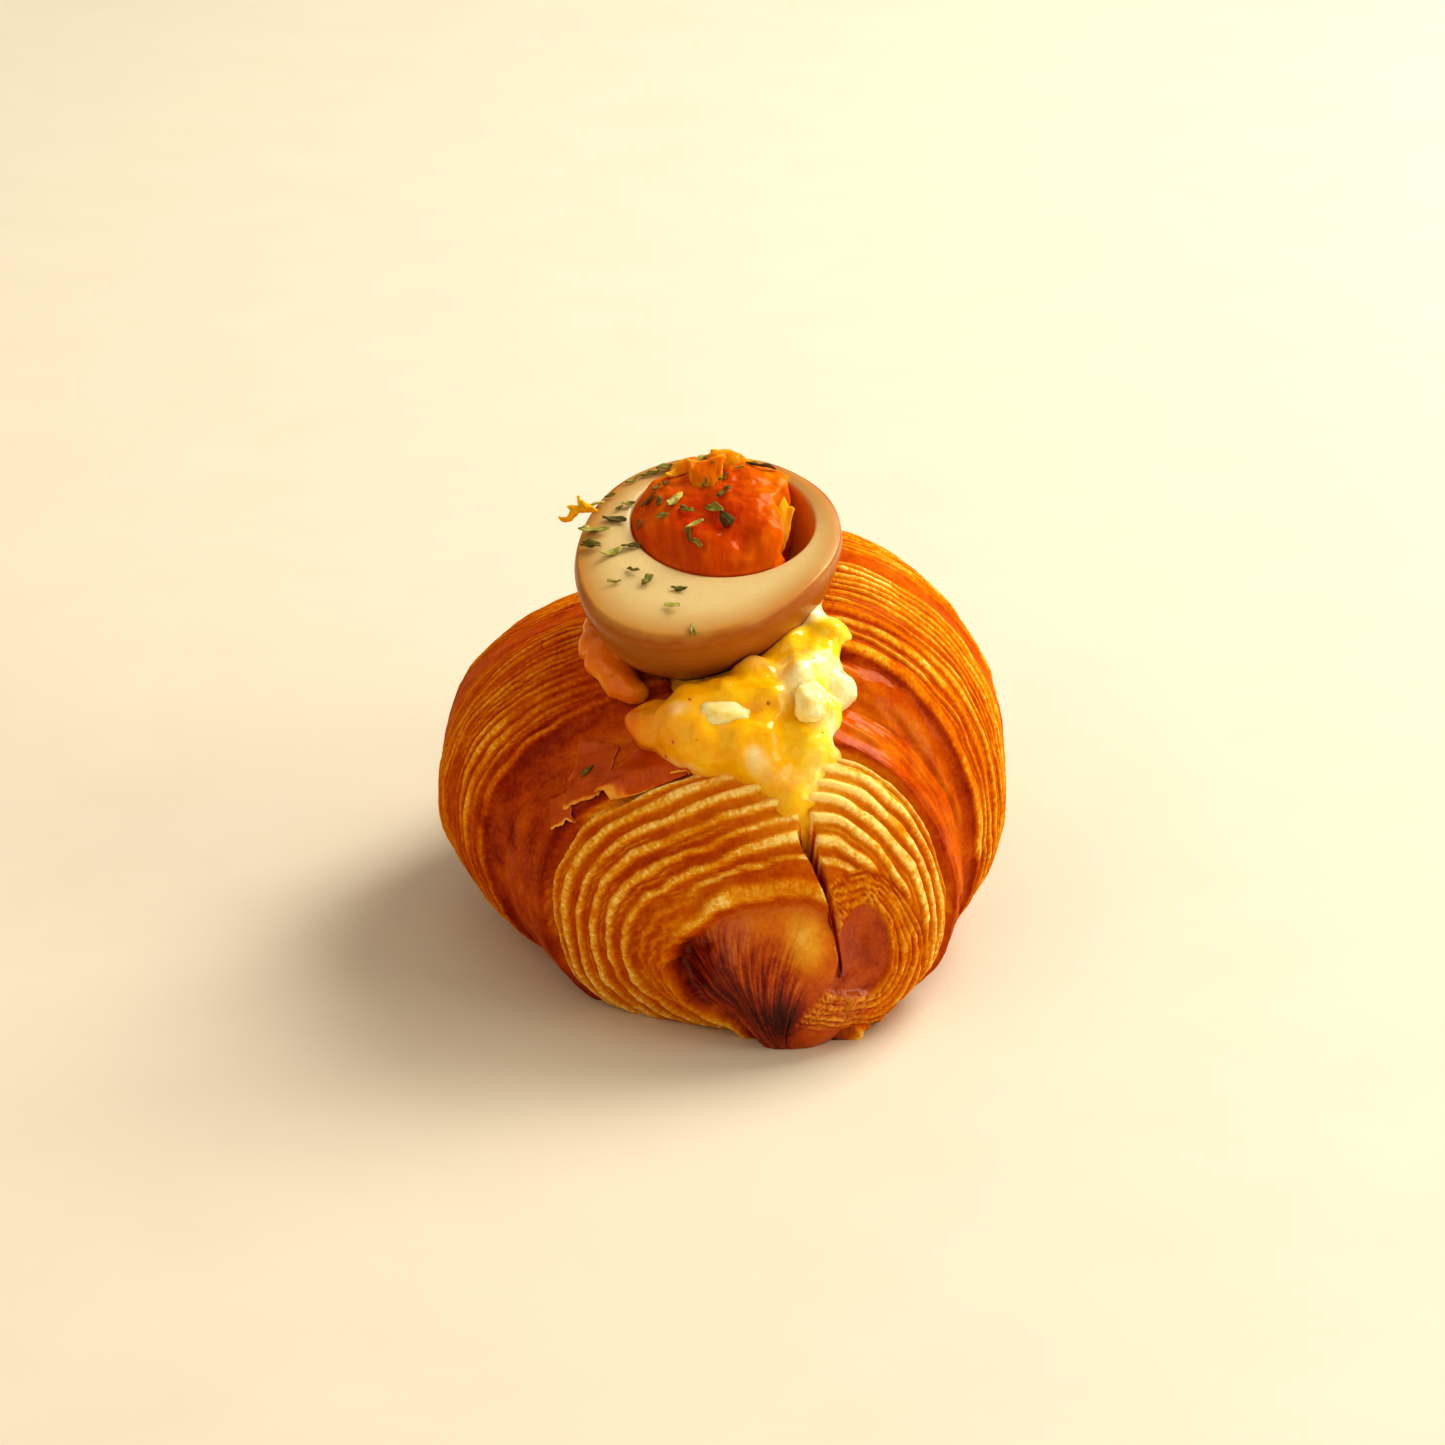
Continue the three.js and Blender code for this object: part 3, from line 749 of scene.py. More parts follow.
def crust_material():
    mix = Recipe("baked_crust")
    ridge, layered_here, tone, crumb, sunk, shiny = (
        mix.field(name) for name in ("ridge", "layered", "tone", "crumb", "sunk", "shiny"))
    layers, pleats = mix.field("layers", "Vector"), mix.field("pleats", "Vector")
    pleated = mix.node("ShaderNodeSeparateXYZ")
    mix.join(pleats, pleated.inputs[0])
    folds = mix.noise(mix.stretch(pleats, (1.0, 1.0, 0.0)), 1.0, 2.5, 0.6)
    folds = mix.times(mix.even(folds, -1.0, 1.0), pleated.outputs["Z"])
    mottle, specks = mix.mottle(260.0, 1500.0)
    fibres = mix.noise(mix.stretch(layers, (1.5, 0.35, 9.0)), 1.0, 3.0, 0.6)
    threads = mix.noise(mix.stretch(layers, (3.2, 0.7, 5.0)), 1.0, 2.0, 0.6)

    streaks = mix.spread(fibres, 0.32, 0.66, 0.66, 1.0)
    streaks = mix.times(streaks, mix.spread(threads, 0.3, 0.65, 0.78, 1.05))
    pale = mix.times(ridge, mix.times(streaks, mix.even(specks, 0.7, 1.15)))
    value = mix.times(pale, 0.5, tone)
    value = mix.plus(value, mix.spread(mottle, 0.25, 0.75, -0.08, 0.08))
    value = mix.plus(value, mix.even(specks, -0.04, 0.04))
    valley = mix.times(mix.maths("SUBTRACT", 1.0, ridge), layered_here)
    value = mix.times(valley, -0.06, value)
    # Painted shade: darker where the surface sinks into the slit.
    value = mix.times(sunk, -0.16, value)
    # Painted light and shade: the pleats' noise, which also bumps the surface, makes their ridges paler and
    # their grooves darker.
    value = mix.times(folds, 0.16, value)
    colour = mix.ramp(value, (
        (0.0, (0.06, 0.003, 0.0)), (0.2, (0.26, 0.020, 0.0)), (0.36, (0.49, 0.076, 0.0)),
        (0.55, (0.66, 0.195, 0.003)), (0.74, (0.80, 0.37, 0.025)), (0.95, (0.98, 0.70, 0.23)),
    ))
    inner = mix.ramp(mottle, ((0.3, (0.66, 0.20, 0.012)), (0.7, (0.92, 0.55, 0.11))))
    colour = mix.blend(crumb, colour, inner)
    dull = mix.times(pale, 0.22, 0.30)
    dull = mix.plus(dull, mix.even(mottle, 0.0, 0.12))
    dull = mix.times(crumb, 0.3, dull)
    weave = mix.times(mix.plus(fibres, threads), mix.times(ridge, 0.8, 0.15))
    normal = mix.bumps((weave, 0.18, 0.6), (mottle, 0.45, 0.6), (specks, 0.15, 0.2), (folds, 0.5, 0.6))
    shine = mix.times(shiny, 0.6, 0.05)
    shine = mix.times(pale, -0.2, shine, clamp=True)
    return mix.surface(colour, dull, normal, Coat_Weight=shine, Coat_Roughness=0.07,
                       Specular_IOR_Level=0.0)


# ---- Half egg: marinated white, jammy yolk ----

def egg_to_frame(points):
    """From the egg's own frame, cut face up at z 0, to its place on the salad."""
    turn, tilt = math.radians(-EGG_TURN), math.radians(EGG_TILT)
    x = points[:, 0] * math.cos(turn) - points[:, 1] * math.sin(turn)
    y = points[:, 0] * math.sin(turn) + points[:, 1] * math.cos(turn)
    z = points[:, 2]
    y, z = y * math.cos(tilt) - z * math.sin(tilt), y * math.sin(tilt) + z * math.cos(tilt)
    return table(x, y, z) + EGG_MIDDLE


def as_it_lies(across, back):
    """From right and back as the egg lies to x and y in the egg's own frame."""
    turned = math.radians(EGG_TURN)
    x = across * math.cos(turned) - back * math.sin(turned)
    y = across * math.sin(turned) + back * math.cos(turned)
    return x, y


def frame_to_egg(points):
    """The way back from egg_to_frame."""
    turn, tilt = math.radians(-EGG_TURN), math.radians(EGG_TILT)
    x, y, z = (points - np.array(EGG_MIDDLE)).T
    y, z = y * math.cos(tilt) + z * math.sin(tilt), -y * math.sin(tilt) + z * math.cos(tilt)
    x, y = x * math.cos(turn) + y * math.sin(turn), -x * math.sin(turn) + y * math.cos(turn)
    return table(x, y, z)


def marinated_white():
    """The half egg's white, hollowed for the yolk, with its flat cut face and round underside."""
    piece, down, turn = standing_ball("marinated_white", 160, 96)
    side, along = np.cos(turn), np.sin(turn)
    # From the pit's middle up its wall, over the cut face, round the rim and down the outside.
    pit, face = 0.24, 0.56
    zones = (down <= pit, down <= face)
    in_pit = np.clip(down / pit, 0, 1)
    on_face = np.clip((down - pit) / (face - pit), 0, 1)
    outside = np.clip((down - face) / (1 - face), 0, 1)

    bowl = np.sin(in_pit * math.pi / 2)
    pit_x = YOLK_RADIUS * bowl * side
    pit_y = YOLK_RADIUS * bowl * along + YOLK_OFFSET
    pit_z = -PIT_DEPTH * np.cos(in_pit * math.pi / 2)
    fall = outside * math.pi / 2
    level = np.cos(fall)
    taper = 1.0 + EGG_POINT * along * level
    egg_x = EGG_RADIUS * side * level * taper
    egg_y = EGG_HALF_LENGTH * along * level
    egg_z = -EGG_RADIUS * np.sin(fall) * taper
    # The face is a little dished, and its edge is rounded over.
    face_x = pit_x + (egg_x - pit_x) * on_face
    face_y = pit_y + (egg_y - pit_y) * on_face
    inner_lip = -0.35 * np.exp(-on_face / 0.05)
    rim = -1.3 * smooth(0.93, 1.0, on_face) ** 2
    swell = 0.35 * np.sin(on_face * math.pi) + 0.25 * waves(face_x / 9, face_y / 9, 0, 101)
    face_z = swell * (1 - smooth(0.9, 1.0, on_face)) + inner_lip + rim
    x = np.select(zones, (pit_x, face_x), egg_x)
    y = np.select(zones, (pit_y, face_y), egg_y)
    below_rim = egg_z - 1.3 * (1 - outside) ** 10
    z = np.select(zones, (np.minimum(pit_z, 0) - 0.35 * in_pit ** 6, face_z), below_rim)
    dents = 0.3 * rough(x / 12, y / 12, z / 12, 103, 2) * (outside > 0.05)
    points = table(x * (1 + dents / 20), y * (1 + dents / 20), z)
    set_coordinates(piece, egg_to_frame(points) * MM)
    # -1 to 0 in the pit, up to 1 at the rim, where the marinade has soaked in, and on to 2 below.
    flat_width = np.hypot(egg_x - pit_x, egg_y - pit_y)
    soaked = 1 - np.clip((1 - on_face) * flat_width / 8.5, 0, 1)
    soaked = (0.2 + 0.8 * soaked) * smooth(0.0, 1.1, on_face * flat_width)
    note(piece, soaked=np.select(zones, (in_pit - 1.0, soaked), 1.0 + outside))
    finish(piece, white_material(), ("marinated_egg_white",))
    return piece


def white_material():
    mix = Recipe("soy_marinated_white")
    where = mix.field("soaked")
    cloud, grain = mix.mottle(90.0, 900.0)
    shifted = mix.plus(where, mix.even(cloud, -0.07, 0.07))
    scaled = mix.spread(shifted, -1.0, 2.0)
    colour = mix.ramp(scaled, (
        (0.0, (0.88, 0.30, 0.006)), (0.32, (0.90, 0.40, 0.02)), (0.338, (0.72, 0.42, 0.10)),
        (0.36, (0.66, 0.51, 0.255)), (0.46, (0.62, 0.445, 0.19)), (0.57, (0.53, 0.31, 0.10)),
        (0.64, (0.48, 0.21, 0.03)), (0.664, (0.38, 0.095, 0.002)), (0.70, (0.38, 0.120, 0.010)),
        (0.80, (0.36, 0.115, 0.012)), (1.0, (0.26, 0.065, 0.004)),
    ))
    colour = mix.blend(mix.even(grain, 0.0, 0.06), colour, (0.35, 0.16, 0.04))
    dull = mix.even(cloud, 0.24, 0.36)
    normal = mix.bumps((grain, 0.05, 0.3), (cloud, 0.15, 1.0))
    return mix.surface(colour, dull, normal, Specular_IOR_Level=0.35,
                       Specular_Tint=(1.0, 0.85, 0.6, 1.0), Subsurface_Weight=0.2,
                       Subsurface_Scale=0.003, Subsurface_Radius=(1.0, 0.55, 0.2))


def yolk():
    """The yolk in its pit, with folds on top and a torn wall at its right."""
    piece, down, turn = standing_ball("jammy_yolk", 180, 110)
    radius = YOLK_RADIUS - 0.12
    rise = np.cos(down * math.pi)
    ring = np.sin(down * math.pi)
    x = radius * ring * np.cos(turn)
    y = radius * ring * np.sin(turn)
    top = rise > 0
    dome = np.clip(rise, 0, 1)
    z = np.where(top, (YOLK_DOME + 0.6) * dome ** 1.4 - 0.1, (PIT_DEPTH - 0.4) * rise - 0.1)
    # Turned so that right is right and back is back as the egg lies.
    turned = math.radians(EGG_TURN)
    across = x * math.cos(turned) + y * math.sin(turned)
    back = -x * math.sin(turned) + y * math.cos(turned)
    # Its right side was pulled away and left a rough wall.
    wall = 9.3 + 1.3 * waves(back / 4, z / 3, 0, 111) + 0.6 * waves(back / 1.6, z / 1.4, 0, 112)
    wall += 0.10 * back
    beyond = np.clip(across - wall, 0, None)
    across = np.where(beyond > 0, wall + 0.05 * beyond, across)
    # Soft folds run from the back to the front over the top.
    fan = across / (1.0 + 0.02 * (back + 12.0))
    folds = 0.7 * waves(fan / 4.2 + 0.1, back / 9.0, 0, 113)
    folds += 0.25 * (1 - 2 * np.abs(waves(fan / 2.6, back / 6.0, 0, 114)))
    folds += 0.15 * waves(fan / 0.8, back / 5.0, 0, 115)
    folds += 0.35 * rough(across / 3.0, back / 3.0, 0, 116, 3)
    on_top = smooth(0.02, 0.35, dome) * top
    pool = spot(across, back, (-2.0, -4.0), (4.5, 3.5))
    z = z + folds * on_top - 1.3 * pool * on_top + 0.8 * on_top * smooth(2.0, 10.0, back)
    x, y = as_it_lies(across, back)
    points = table(x, y + YOLK_OFFSET, z)
    set_coordinates(piece, egg_to_frame(points) * MM)
    runny = 0.55 + 0.9 * pool - 0.15 * smooth(3.0, 9.0, across) - 0.25 * smooth(5.0, 11.0, back)
    note(piece, folds=folds * on_top, runny=np.clip(runny, 0, 1), strands=table(fan, back, z))
    finish(piece, yolk_material(), ("egg_yolk",))
    return piece


def yolk_material(name="jammy_orange_yolk", paler=0.0):
    mix = Recipe(name)
    strands = mix.field("strands", "Vector")
    folds = mix.field("folds")
    runny = mix.field("runny")
    blotch, grain = mix.mottle(160.0, 1400.0)
    streak = mix.noise(mix.stretch(strands, (0.7, 0.12, 0.3)), 1.0, 4.0, 0.6, 0.4)
    value = mix.times(runny, -0.5, 0.8 + paler)
    value = mix.plus(value, mix.even(streak, -0.12, 0.12))
    value = mix.plus(value, mix.even(blotch, -0.1, 0.1))
    value = mix.times(folds, 0.06, value)
    colour = mix.ramp(value, (
        (0.0, (0.38, 0.010, 0.0)), (0.25, (0.46, 0.032, 0.0)), (0.5, (0.54, 0.072, 0.0)),
        (0.75, (0.67, 0.15, 0.0)), (1.0, (0.84, 0.37, 0.01)),
    ))
    dull = mix.even(blotch, 0.22, 0.42)
    normal = mix.bumps((grain, 0.12, 0.3), (streak, 0.2, 0.6), (blotch, 0.35, 1.2))
    return mix.surface(colour, dull, normal, Coat_Weight=0.12, Coat_Roughness=0.05,
                       Specular_IOR_Level=0.0, Subsurface_Weight=0.4, Subsurface_Scale=0.005,
                       Subsurface_Radius=(1.0, 0.45, 0.06))


# ---- Sheets: torn yolk and peeled crust ----

def sheet(name, corners, columns, rows, thickness, ragged, seed, shape):
    """A thin torn sheet between four corners, bent by shape(points, u, v), with ragged edges."""
    select()
    bpy.ops.mesh.primitive_grid_add(x_subdivisions=columns, y_subdivisions=rows, size=2.0)
    piece = just_added(name)
    unit = coordinates(piece)
    u, v = (unit[:, 0] + 1) / 2, (unit[:, 1] + 1) / 2
    edge_u = ragged * (waves(v * 4.0, 0, 0, seed) + 0.5 * waves(v * 11.0, 0, 0, seed + 1))
    edge_v = ragged * (waves(u * 4.0, 0, 0, seed + 2) + 0.5 * waves(u * 11.0, 0, 0, seed + 3))
    bent_u = u + edge_u * (2 * u - 1) ** 3 * 0.5
    bent_v = v + edge_v * (2 * v - 1) ** 3 * 0.5
    a, b, c, d = (np.array(corner, float) for corner in corners)
    low = a + (b - a) * bent_u[:, None]
    high = d + (c - d) * bent_u[:, None]
    points = shape(low + (high - low) * bent_v[:, None], u, v)
    set_coordinates(piece, points * MM)
    # rim: the free edge and the sides are paler, partly the thin crust's own paler edge and partly painted
    # highlight.
    sides = 1 - smooth(0.0, 0.05, np.minimum(np.minimum(u, 1 - u), 1 - v))
    rim = np.maximum(1 - smooth(0.02, 0.09, v), 0.5 * sides)
    note(piece, rim=rim, strands=points, folds=0 * u, runny=0 * u)
    change(piece, "SOLIDIFY", thickness=thickness * MM, offset=0.0)
    return piece


def surface_of(piece):
    """A piece's surface, made ready to lay other pieces on."""
    points = [Vector(p) for p in coordinates(piece)]
    faces = [tuple(f.vertices) for f in piece.data.polygons]
    return BVHTree.FromPolygons(points, faces)


def onto(tree, points, lift):
    """Points laid on a surface, and raised from it by lift."""
    laid = np.empty_like(points)
    for i, point in enumerate(points):
        near, normal, _, _ = tree.find_nearest(Vector(point) * MM)
        laid[i] = np.array(near) / MM + np.array(normal) * lift[i]
    return laid


def yolk_sheets():
    """Torn sheets of yolk that stand at the back rim and hang at the right."""
    torn, amber = yolk_material("torn_yolk", -0.02), yolk_material("amber_yolk", 0.2)
    sheets = (
        # across, back, height of each of four corners over the cut face; then bulge and seed
        (((8.2, 5.5, 0.5), (11.5, 2.5, -5.0), (14.4, 9.0, 0.4), (8.5, 14.0, 3.6)), 1.3, 211),
        (((-6.0, 14.5, 2.6), (1.0, 15.5, 3.2), (2.5, 19.0, 3.6), (-4.0, 19.0, 2.2)), 0.9, 212),
        (((0.5, 15.0, 3.6), (7.0, 14.0, 3.5), (8.5, 18.5, 2.9), (1.0, 19.5, 4.8)), 1.1, 213),
        (((-1.5, 10.0, 3.9), (2.5, 9.0, 4.0), (3.5, 15.5, 5.6), (-2.5, 15.0, 5.2)), 0.8, 214),
    )
    for number, (corners, bulge, seed) in enumerate(sheets):
        def bend(points, u, v, bulge=bulge, seed=seed):
            crown = bulge * np.sin(u * math.pi) * np.sin(v * math.pi)
            points = points + table(0 * u, 0 * u, crown + 0.5 * waves(u * 5, v * 2, 0, seed + 7))
            x, y = as_it_lies(points[:, 0], points[:, 1])
            return egg_to_frame(table(x, y, points[:, 2]))
        name = f"torn_yolk_{number + 1}"
        piece = sheet(name, corners, 28, 22, TORN_YOLK_THICKNESS, 0.09, seed, bend)
        finish(piece, amber if number == 0 else torn)


# ---- Egg salad ----

def mound(piece):
    """The plain mound that fills the slit, under the spoonfuls."""
    unit = coordinates(piece)
    t = unit[:, 1]
    ring = np.hypot(unit[:, 0], unit[:, 2])
    side, _, up = np.where(ring > 1e-6, unit.T / np.maximum(ring, 1e-6), 0)
    middle = (CREST + SLIT_FLOOR) / 2
    x = (SLIT_HALF_WIDTH + SALAD_OVERHANG - 2.0) * ring ** 0.8 * side + SLIT_TURN * t * t
    y = t * (np.where(t < 0, SLIT_FRONT, SLIT_BACK) + 1.0)
    sag = (CREST - middle) * (1 - ring) / 2
    z = middle - sag + np.where(up > 0, (CREST - 1.5 - middle) * ring ** 0.9, middle - SLIT_FLOOR + 2) * up
    set_coordinates(piece, table(x, y + BELLY_Y, z) * MM)


# Spoonfuls that make the salad's outline: x, y, z and radius in millimetres.
SPOONFULS = (
    (-19.6, -22.0, 50.4, 2.6), (-18.0, -25.5, 49.2, 3.2), (-15.6, -28.6, 47.6, 3.0),
    (-13.4, -30.6, 46.4, 2.2), (-19.4, -18.0, 51.5, 2.8), (-15.0, -25.0, 50.0, 3.4),
    (-10.2, -37.6, 43.6, 4.6), (-6.0, -41.0, 44.6, 5.2), (-2.5, -42.6, 43.0, 5.0),
    (1.5, -42.6, 43.6, 5.4), (5.0, -44.2, 42.0, 5.0), (8.0, -46.2, 38.6, 4.6),
    (10.2, -48.2, 35.2, 3.9), (10.4, -49.6, 33.0, 3.0), (10.6, -50.6, 31.0, 2.0),
    (9.5, -28.0, 51.5, 5.0), (5.0, -33.0, 48.5, 5.0), (12.0, -22.0, 55.0, 4.2),
    (0.0, -36.0, 46.5, 5.0), (13.6, -30.0, 50.0, 4.0), (13.0, -43.6, 41.6, 4.4),
    (15.4, -39.0, 44.6, 3.9), (16.9, -34.6, 47.6, 3.6), (15.0, -31.6, 51.2, 3.6),
    (16.4, -27.0, 54.2, 2.9), (-5.0, -39.8, 47.6, 3.9), (0.6, -38.6, 48.2, 3.8),
    (7.2, -39.4, 47.0, 4.4), (12.0, -36.0, 50.0, 4.0), (-9.5, 8.0, 51.0, 5.0),
    (9.5, 6.0, 52.0, 5.0), (0.0, 12.0, 51.0, 7.0), (6.0, 21.0, 48.0, 5.4),
    (-4.0, 19.0, 48.5, 5.4), (3.0, 16.0, 50.5, 4.5), (-5.0, 13.0, 51.5, 4.5),
    (12.5, -10.0, 53.5, 4.0), (-13.5, -10.0, 52.0, 4.0), (-13.5, -15.0, 51.0, 4.0),
    (-12.0, -2.0, 52.0, 4.5), (11.5, -2.0, 53.0, 4.5), (9.0, 13.0, 50.5, 4.0),
    (7.0, 27.0, 44.5, 3.6), (13.5, 12.0, 49.0, 4.2), (13.5, 20.0, 46.5, 4.0),
    (12.5, 27.0, 43.0, 3.4), (-9.0, 15.0, 49.0, 3.8),
)


def clear_of_egg(points, gap):
    """Moves points that are in the egg out to its skin."""
    own = frame_to_egg(points)
    taper = 1.0 + EGG_POINT * np.clip(own[:, 1] / EGG_HALF_LENGTH, -1, 1)
    wide = (EGG_RADIUS + gap) * taper
    size = table(wide, np.full(len(own), EGG_HALF_LENGTH + gap), wide)
    reach = np.linalg.norm(own / size, axis=1)
    inside = (reach < 1.0) & (own[:, 2] < 1.0)
    lowered = own.copy()
    lowered[:, 2] = np.where(inside, np.minimum(own[:, 2], -2.5), own[:, 2])
    reach = np.linalg.norm(lowered / size, axis=1)
    moved = np.where(inside[:, None], lowered / np.maximum(reach, 0.05)[:, None], own)
    return np.where(inside[:, None], egg_to_frame(moved), points)


def egg_salad():
    """The mound and its spoonfuls, each with two smaller lumps, fused and softened into one mesh."""
    body = ball("egg_salad_mound", 60, 60)
    mound(body)
    parts = [body]
    rng = np.random.default_rng(301)
    for x, y, z, radius in SPOONFULS:
        for extra in range(3):
            shift = rng.normal(0, 1, 3)
            shift = shift / np.linalg.norm(shift) * radius * (0.0 if extra == 0 else 0.62)
            small = radius * (1.0 if extra == 0 else rng.uniform(0.45, 0.62))
            select()
            bpy.ops.mesh.primitive_ico_sphere_add(subdivisions=3, radius=1.0)
            lump = bpy.context.object
            stretch = rng.uniform(0.85, 1.15, 3)
            set_coordinates(lump, (coordinates(lump) * stretch * small + shift + (x, y, z)) * MM)
            parts.append(lump)
    select(*parts)
    bpy.ops.object.join()
    change(body, "REMESH", mode="VOXEL", voxel_size=0.55 * MM)
    change(body, "SMOOTH", factor=0.6, iterations=34)
    points = coordinates(body) / MM
    normals = outward(body, points)
    x, y, z = points.T
    bumps = 0.65 * rough(x / 3.8, y / 3.8, z / 3.8, 311, 2) + 0.12 * waves(x / 1.0, y / 1.0, z / 1.0, 315)
    points = clear_of_egg(points + normals * bumps[:, None], 0.1)
    set_coordinates(body, points * MM)
    body.name = "spooned_egg_salad"
    body.data.name = "spooned_egg_salad"
    x, y, z = points.T
    lump_light = waves(x / 5.0, y / 5.0, z / 5.0, 321) + 0.2 * waves(x / 2.2, y / 2.2, z / 2.2, 322)
    # Painted light on the right: the right side turns paler, both as cream egg white and as a brighter
    # dressing.
    right = smooth(8.5, 14.5, x + 0.15 * (z - 44))
    white = smooth(0.25, 0.95, lump_light + 0.75 * right) * smooth(37.5, 45.0, z)
    # Painted shade on the left: the left lobe and the left end turn a darker orange.
    shaded_lobe = smooth(-10.0, -14.0, x) * (1 - 0.6 * smooth(0.0, 0.5, lump_light))
    note(body, egg_white=np.clip(white, 0, 1), daylight=np.clip(right, 0, 1),
         left_side=np.maximum(shaded_lobe, 0.6 * (1 - smooth(-12.0, -3.0, x))))
    finish(body, salad_material(), ("egg_salad",))
    return body


def salad_material():
    mix = Recipe("creamy_egg_salad")
    place = mix.node("ShaderNodeTexCoord").outputs["Object"]
    white, daylight, left = (mix.field(name) for name in ("egg_white", "daylight", "left_side"))
    blotch, fine = mix.mottle(330.0, 1200.0)
    seeds = mix.node("ShaderNodeTexVoronoi", feature="F1")
    mix.join(place, seeds.inputs["Vector"])
    seeds.inputs["Scale"].default_value = 260.0
    # Painted light: daylight makes the dressing paler on the right.
    value = mix.plus(mix.even(blotch, 0.25, 0.55), mix.times(daylight, 0.3))
    sauce = mix.ramp(value, (
        (0.0, (0.82, 0.30, 0.0)), (0.35, (0.92, 0.45, 0.001)), (0.65, (0.97, 0.63, 0.008)),
        (1.0, (0.99, 0.84, 0.09)),
    ))
    cream = mix.ramp(fine, ((0.3, (1.0, 0.79, 0.32)), (0.7, (1.0, 0.91, 0.56))))
    # Pale egg white in the dressing, spread more widely over the right side as painted light, and only
    # higher up.
    colour = mix.blend(white, sauce, cream)
    # Painted shade: the left side turns a darker orange.
    colour = mix.blend(mix.times(left, 0.95), colour, (0.76, 0.18, 0.0))
    speck = mix.spread(seeds.outputs["Distance"], 0.10, 0.07)
    colour = mix.blend(mix.times(speck, 0.8), colour, (0.45, 0.06, 0.005))
    dull = mix.even(fine, 0.2, 0.34)
    normal = mix.bumps((fine, 0.15, 0.4), (blotch, 0.25, 1.4))
    return mix.surface(colour, dull, normal, Coat_Weight=0.6, Coat_Roughness=0.04,
                       Subsurface_Weight=0.2, Subsurface_Scale=0.002,
                       Specular_IOR_Level=0.0, Subsurface_Radius=(1.0, 0.6, 0.12))


def chopped_whites():
    """Pieces of chopped egg white in the salad, broken and rounded."""
    material = chopped_material()
    for number in range(1, CHOPPED_WHITES + 1):
        node = f"chopped_white_{number}"
        low, high = (np.array(corner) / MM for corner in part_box(node))
        middle, size = (low + high) / 2, (high - low) / 2
        piece = ball(f"broken_white_{number}", 36, 28)
        unit = coordinates(piece)
        block = np.sign(unit) * np.abs(unit) ** 0.82
        grain = rough(unit[:, 0] * 2, unit[:, 1] * 2, unit[:, 2] * 2, 330 + number, 3)
        points = block * size * 0.96 * (1 + 0.14 * grain)[:, None] + middle
        set_coordinates(piece, clear_of_egg(points, 0.15) * MM)
        finish(piece, material, (node,))


def chopped_material():
    mix = Recipe("chopped_egg_white")
    blotch, fine = mix.mottle(300.0, 1300.0)
    stops = ((0.34, (0.98, 0.66, 0.12)), (0.5, (1.0, 0.83, 0.36)), (0.66, (1.0, 0.92, 0.58)))
    colour = mix.ramp(blotch, stops)
    normal = mix.bumps((fine, 0.1, 0.3))
    return mix.surface(colour, mix.even(fine, 0.2, 0.3), normal, Coat_Weight=0.7,
                       Coat_Roughness=0.06, Specular_IOR_Level=0.2, Subsurface_Weight=0.4,
                       Subsurface_Scale=0.003, Subsurface_Radius=(1.0, 0.8, 0.5))


# ---- Parsley and the strands of yolk ----

def parsley_flakes(trees):
    """Each dried leaf lies where its solid does, curled, on the surface under it."""
    material = parsley_material()
    rng = np.random.default_rng(401)
    flakes = []
    for number in range(1, FLAKES + 1):
        node = f"parsley_flake_{number:02d}"
        own = np.array([v.co for v in bpy.data.objects[node].data.vertices]) / MM
        spread = own - own.mean(0)
        _, _, axes = np.linalg.svd(spread, full_matrices=False)
        flakes.append((own.mean(0), axes[0], np.ptp(spread @ axes[0]), (node,)))
    # One more lies on the peeled crust at the left.
    flakes.append((np.array((-20.4, -38.8, 36.4)), np.array((0.25, 0.3, 0.92)), 2.6, ()))
    for number, (middle, longest, length, nodes) in enumerate(flakes, start=1):
        nearest = min((tree.find_nearest(Vector(middle) * MM) for tree in trees), key=lambda hit: hit[3])
        normal = np.array(nearest[1])
        normal = normal * (1.0 if normal[2] > 0 else -1.0)
        along = longest - normal * (longest @ normal)
        along = along / np.linalg.norm(along)
        beside = np.cross(normal, along)
        select()
        bpy.ops.mesh.primitive_grid_add(x_subdivisions=7, y_subdivisions=4, size=2.0)
        piece = just_added(f"dried_leaf_{number:02d}")
        unit = coordinates(piece)
        u, v = unit[:, 0], unit[:, 1]
        seed = 410 + number
        outline = (1 - 0.7 * np.abs(u) ** 1.7) * (1 + 0.7 * waves(u * 3.1, np.sign(v) * 3.3, 0, seed))
        width = length * rng.uniform(0.13, 0.22)
        x = length / 2 * u * (1 + 0.12 * waves(v * 2, 0, 0, seed + 50))
        y = width * v * outline + 0.08 * length * waves(u * 1.3, 0, 0, seed + 90)
        curl = rng.uniform(0.3, 1.1) * rng.choice([-0.4, 1.0])
        z = 0.25 + curl * width * (v * outline) ** 2 + 0.10 * length * waves(u * 1.6, v, 0, seed + 130)
        z = z - min(z.min(), 0.0) + 0.25
        lean = rng.uniform(-0.35, 0.35)
        z = z + np.clip(lean * x, 0, None)
        points = np.array(nearest[0]) / MM + x[:, None] * along + y[:, None] * beside + z[:, None] * normal
        set_coordinates(piece, points * MM)
        note(piece, leaf=table(u, v, np.full(len(u), rng.uniform())))
        change(piece, "SOLIDIFY", thickness=LEAF_THICKNESS * MM)
        finish(piece, material, nodes)


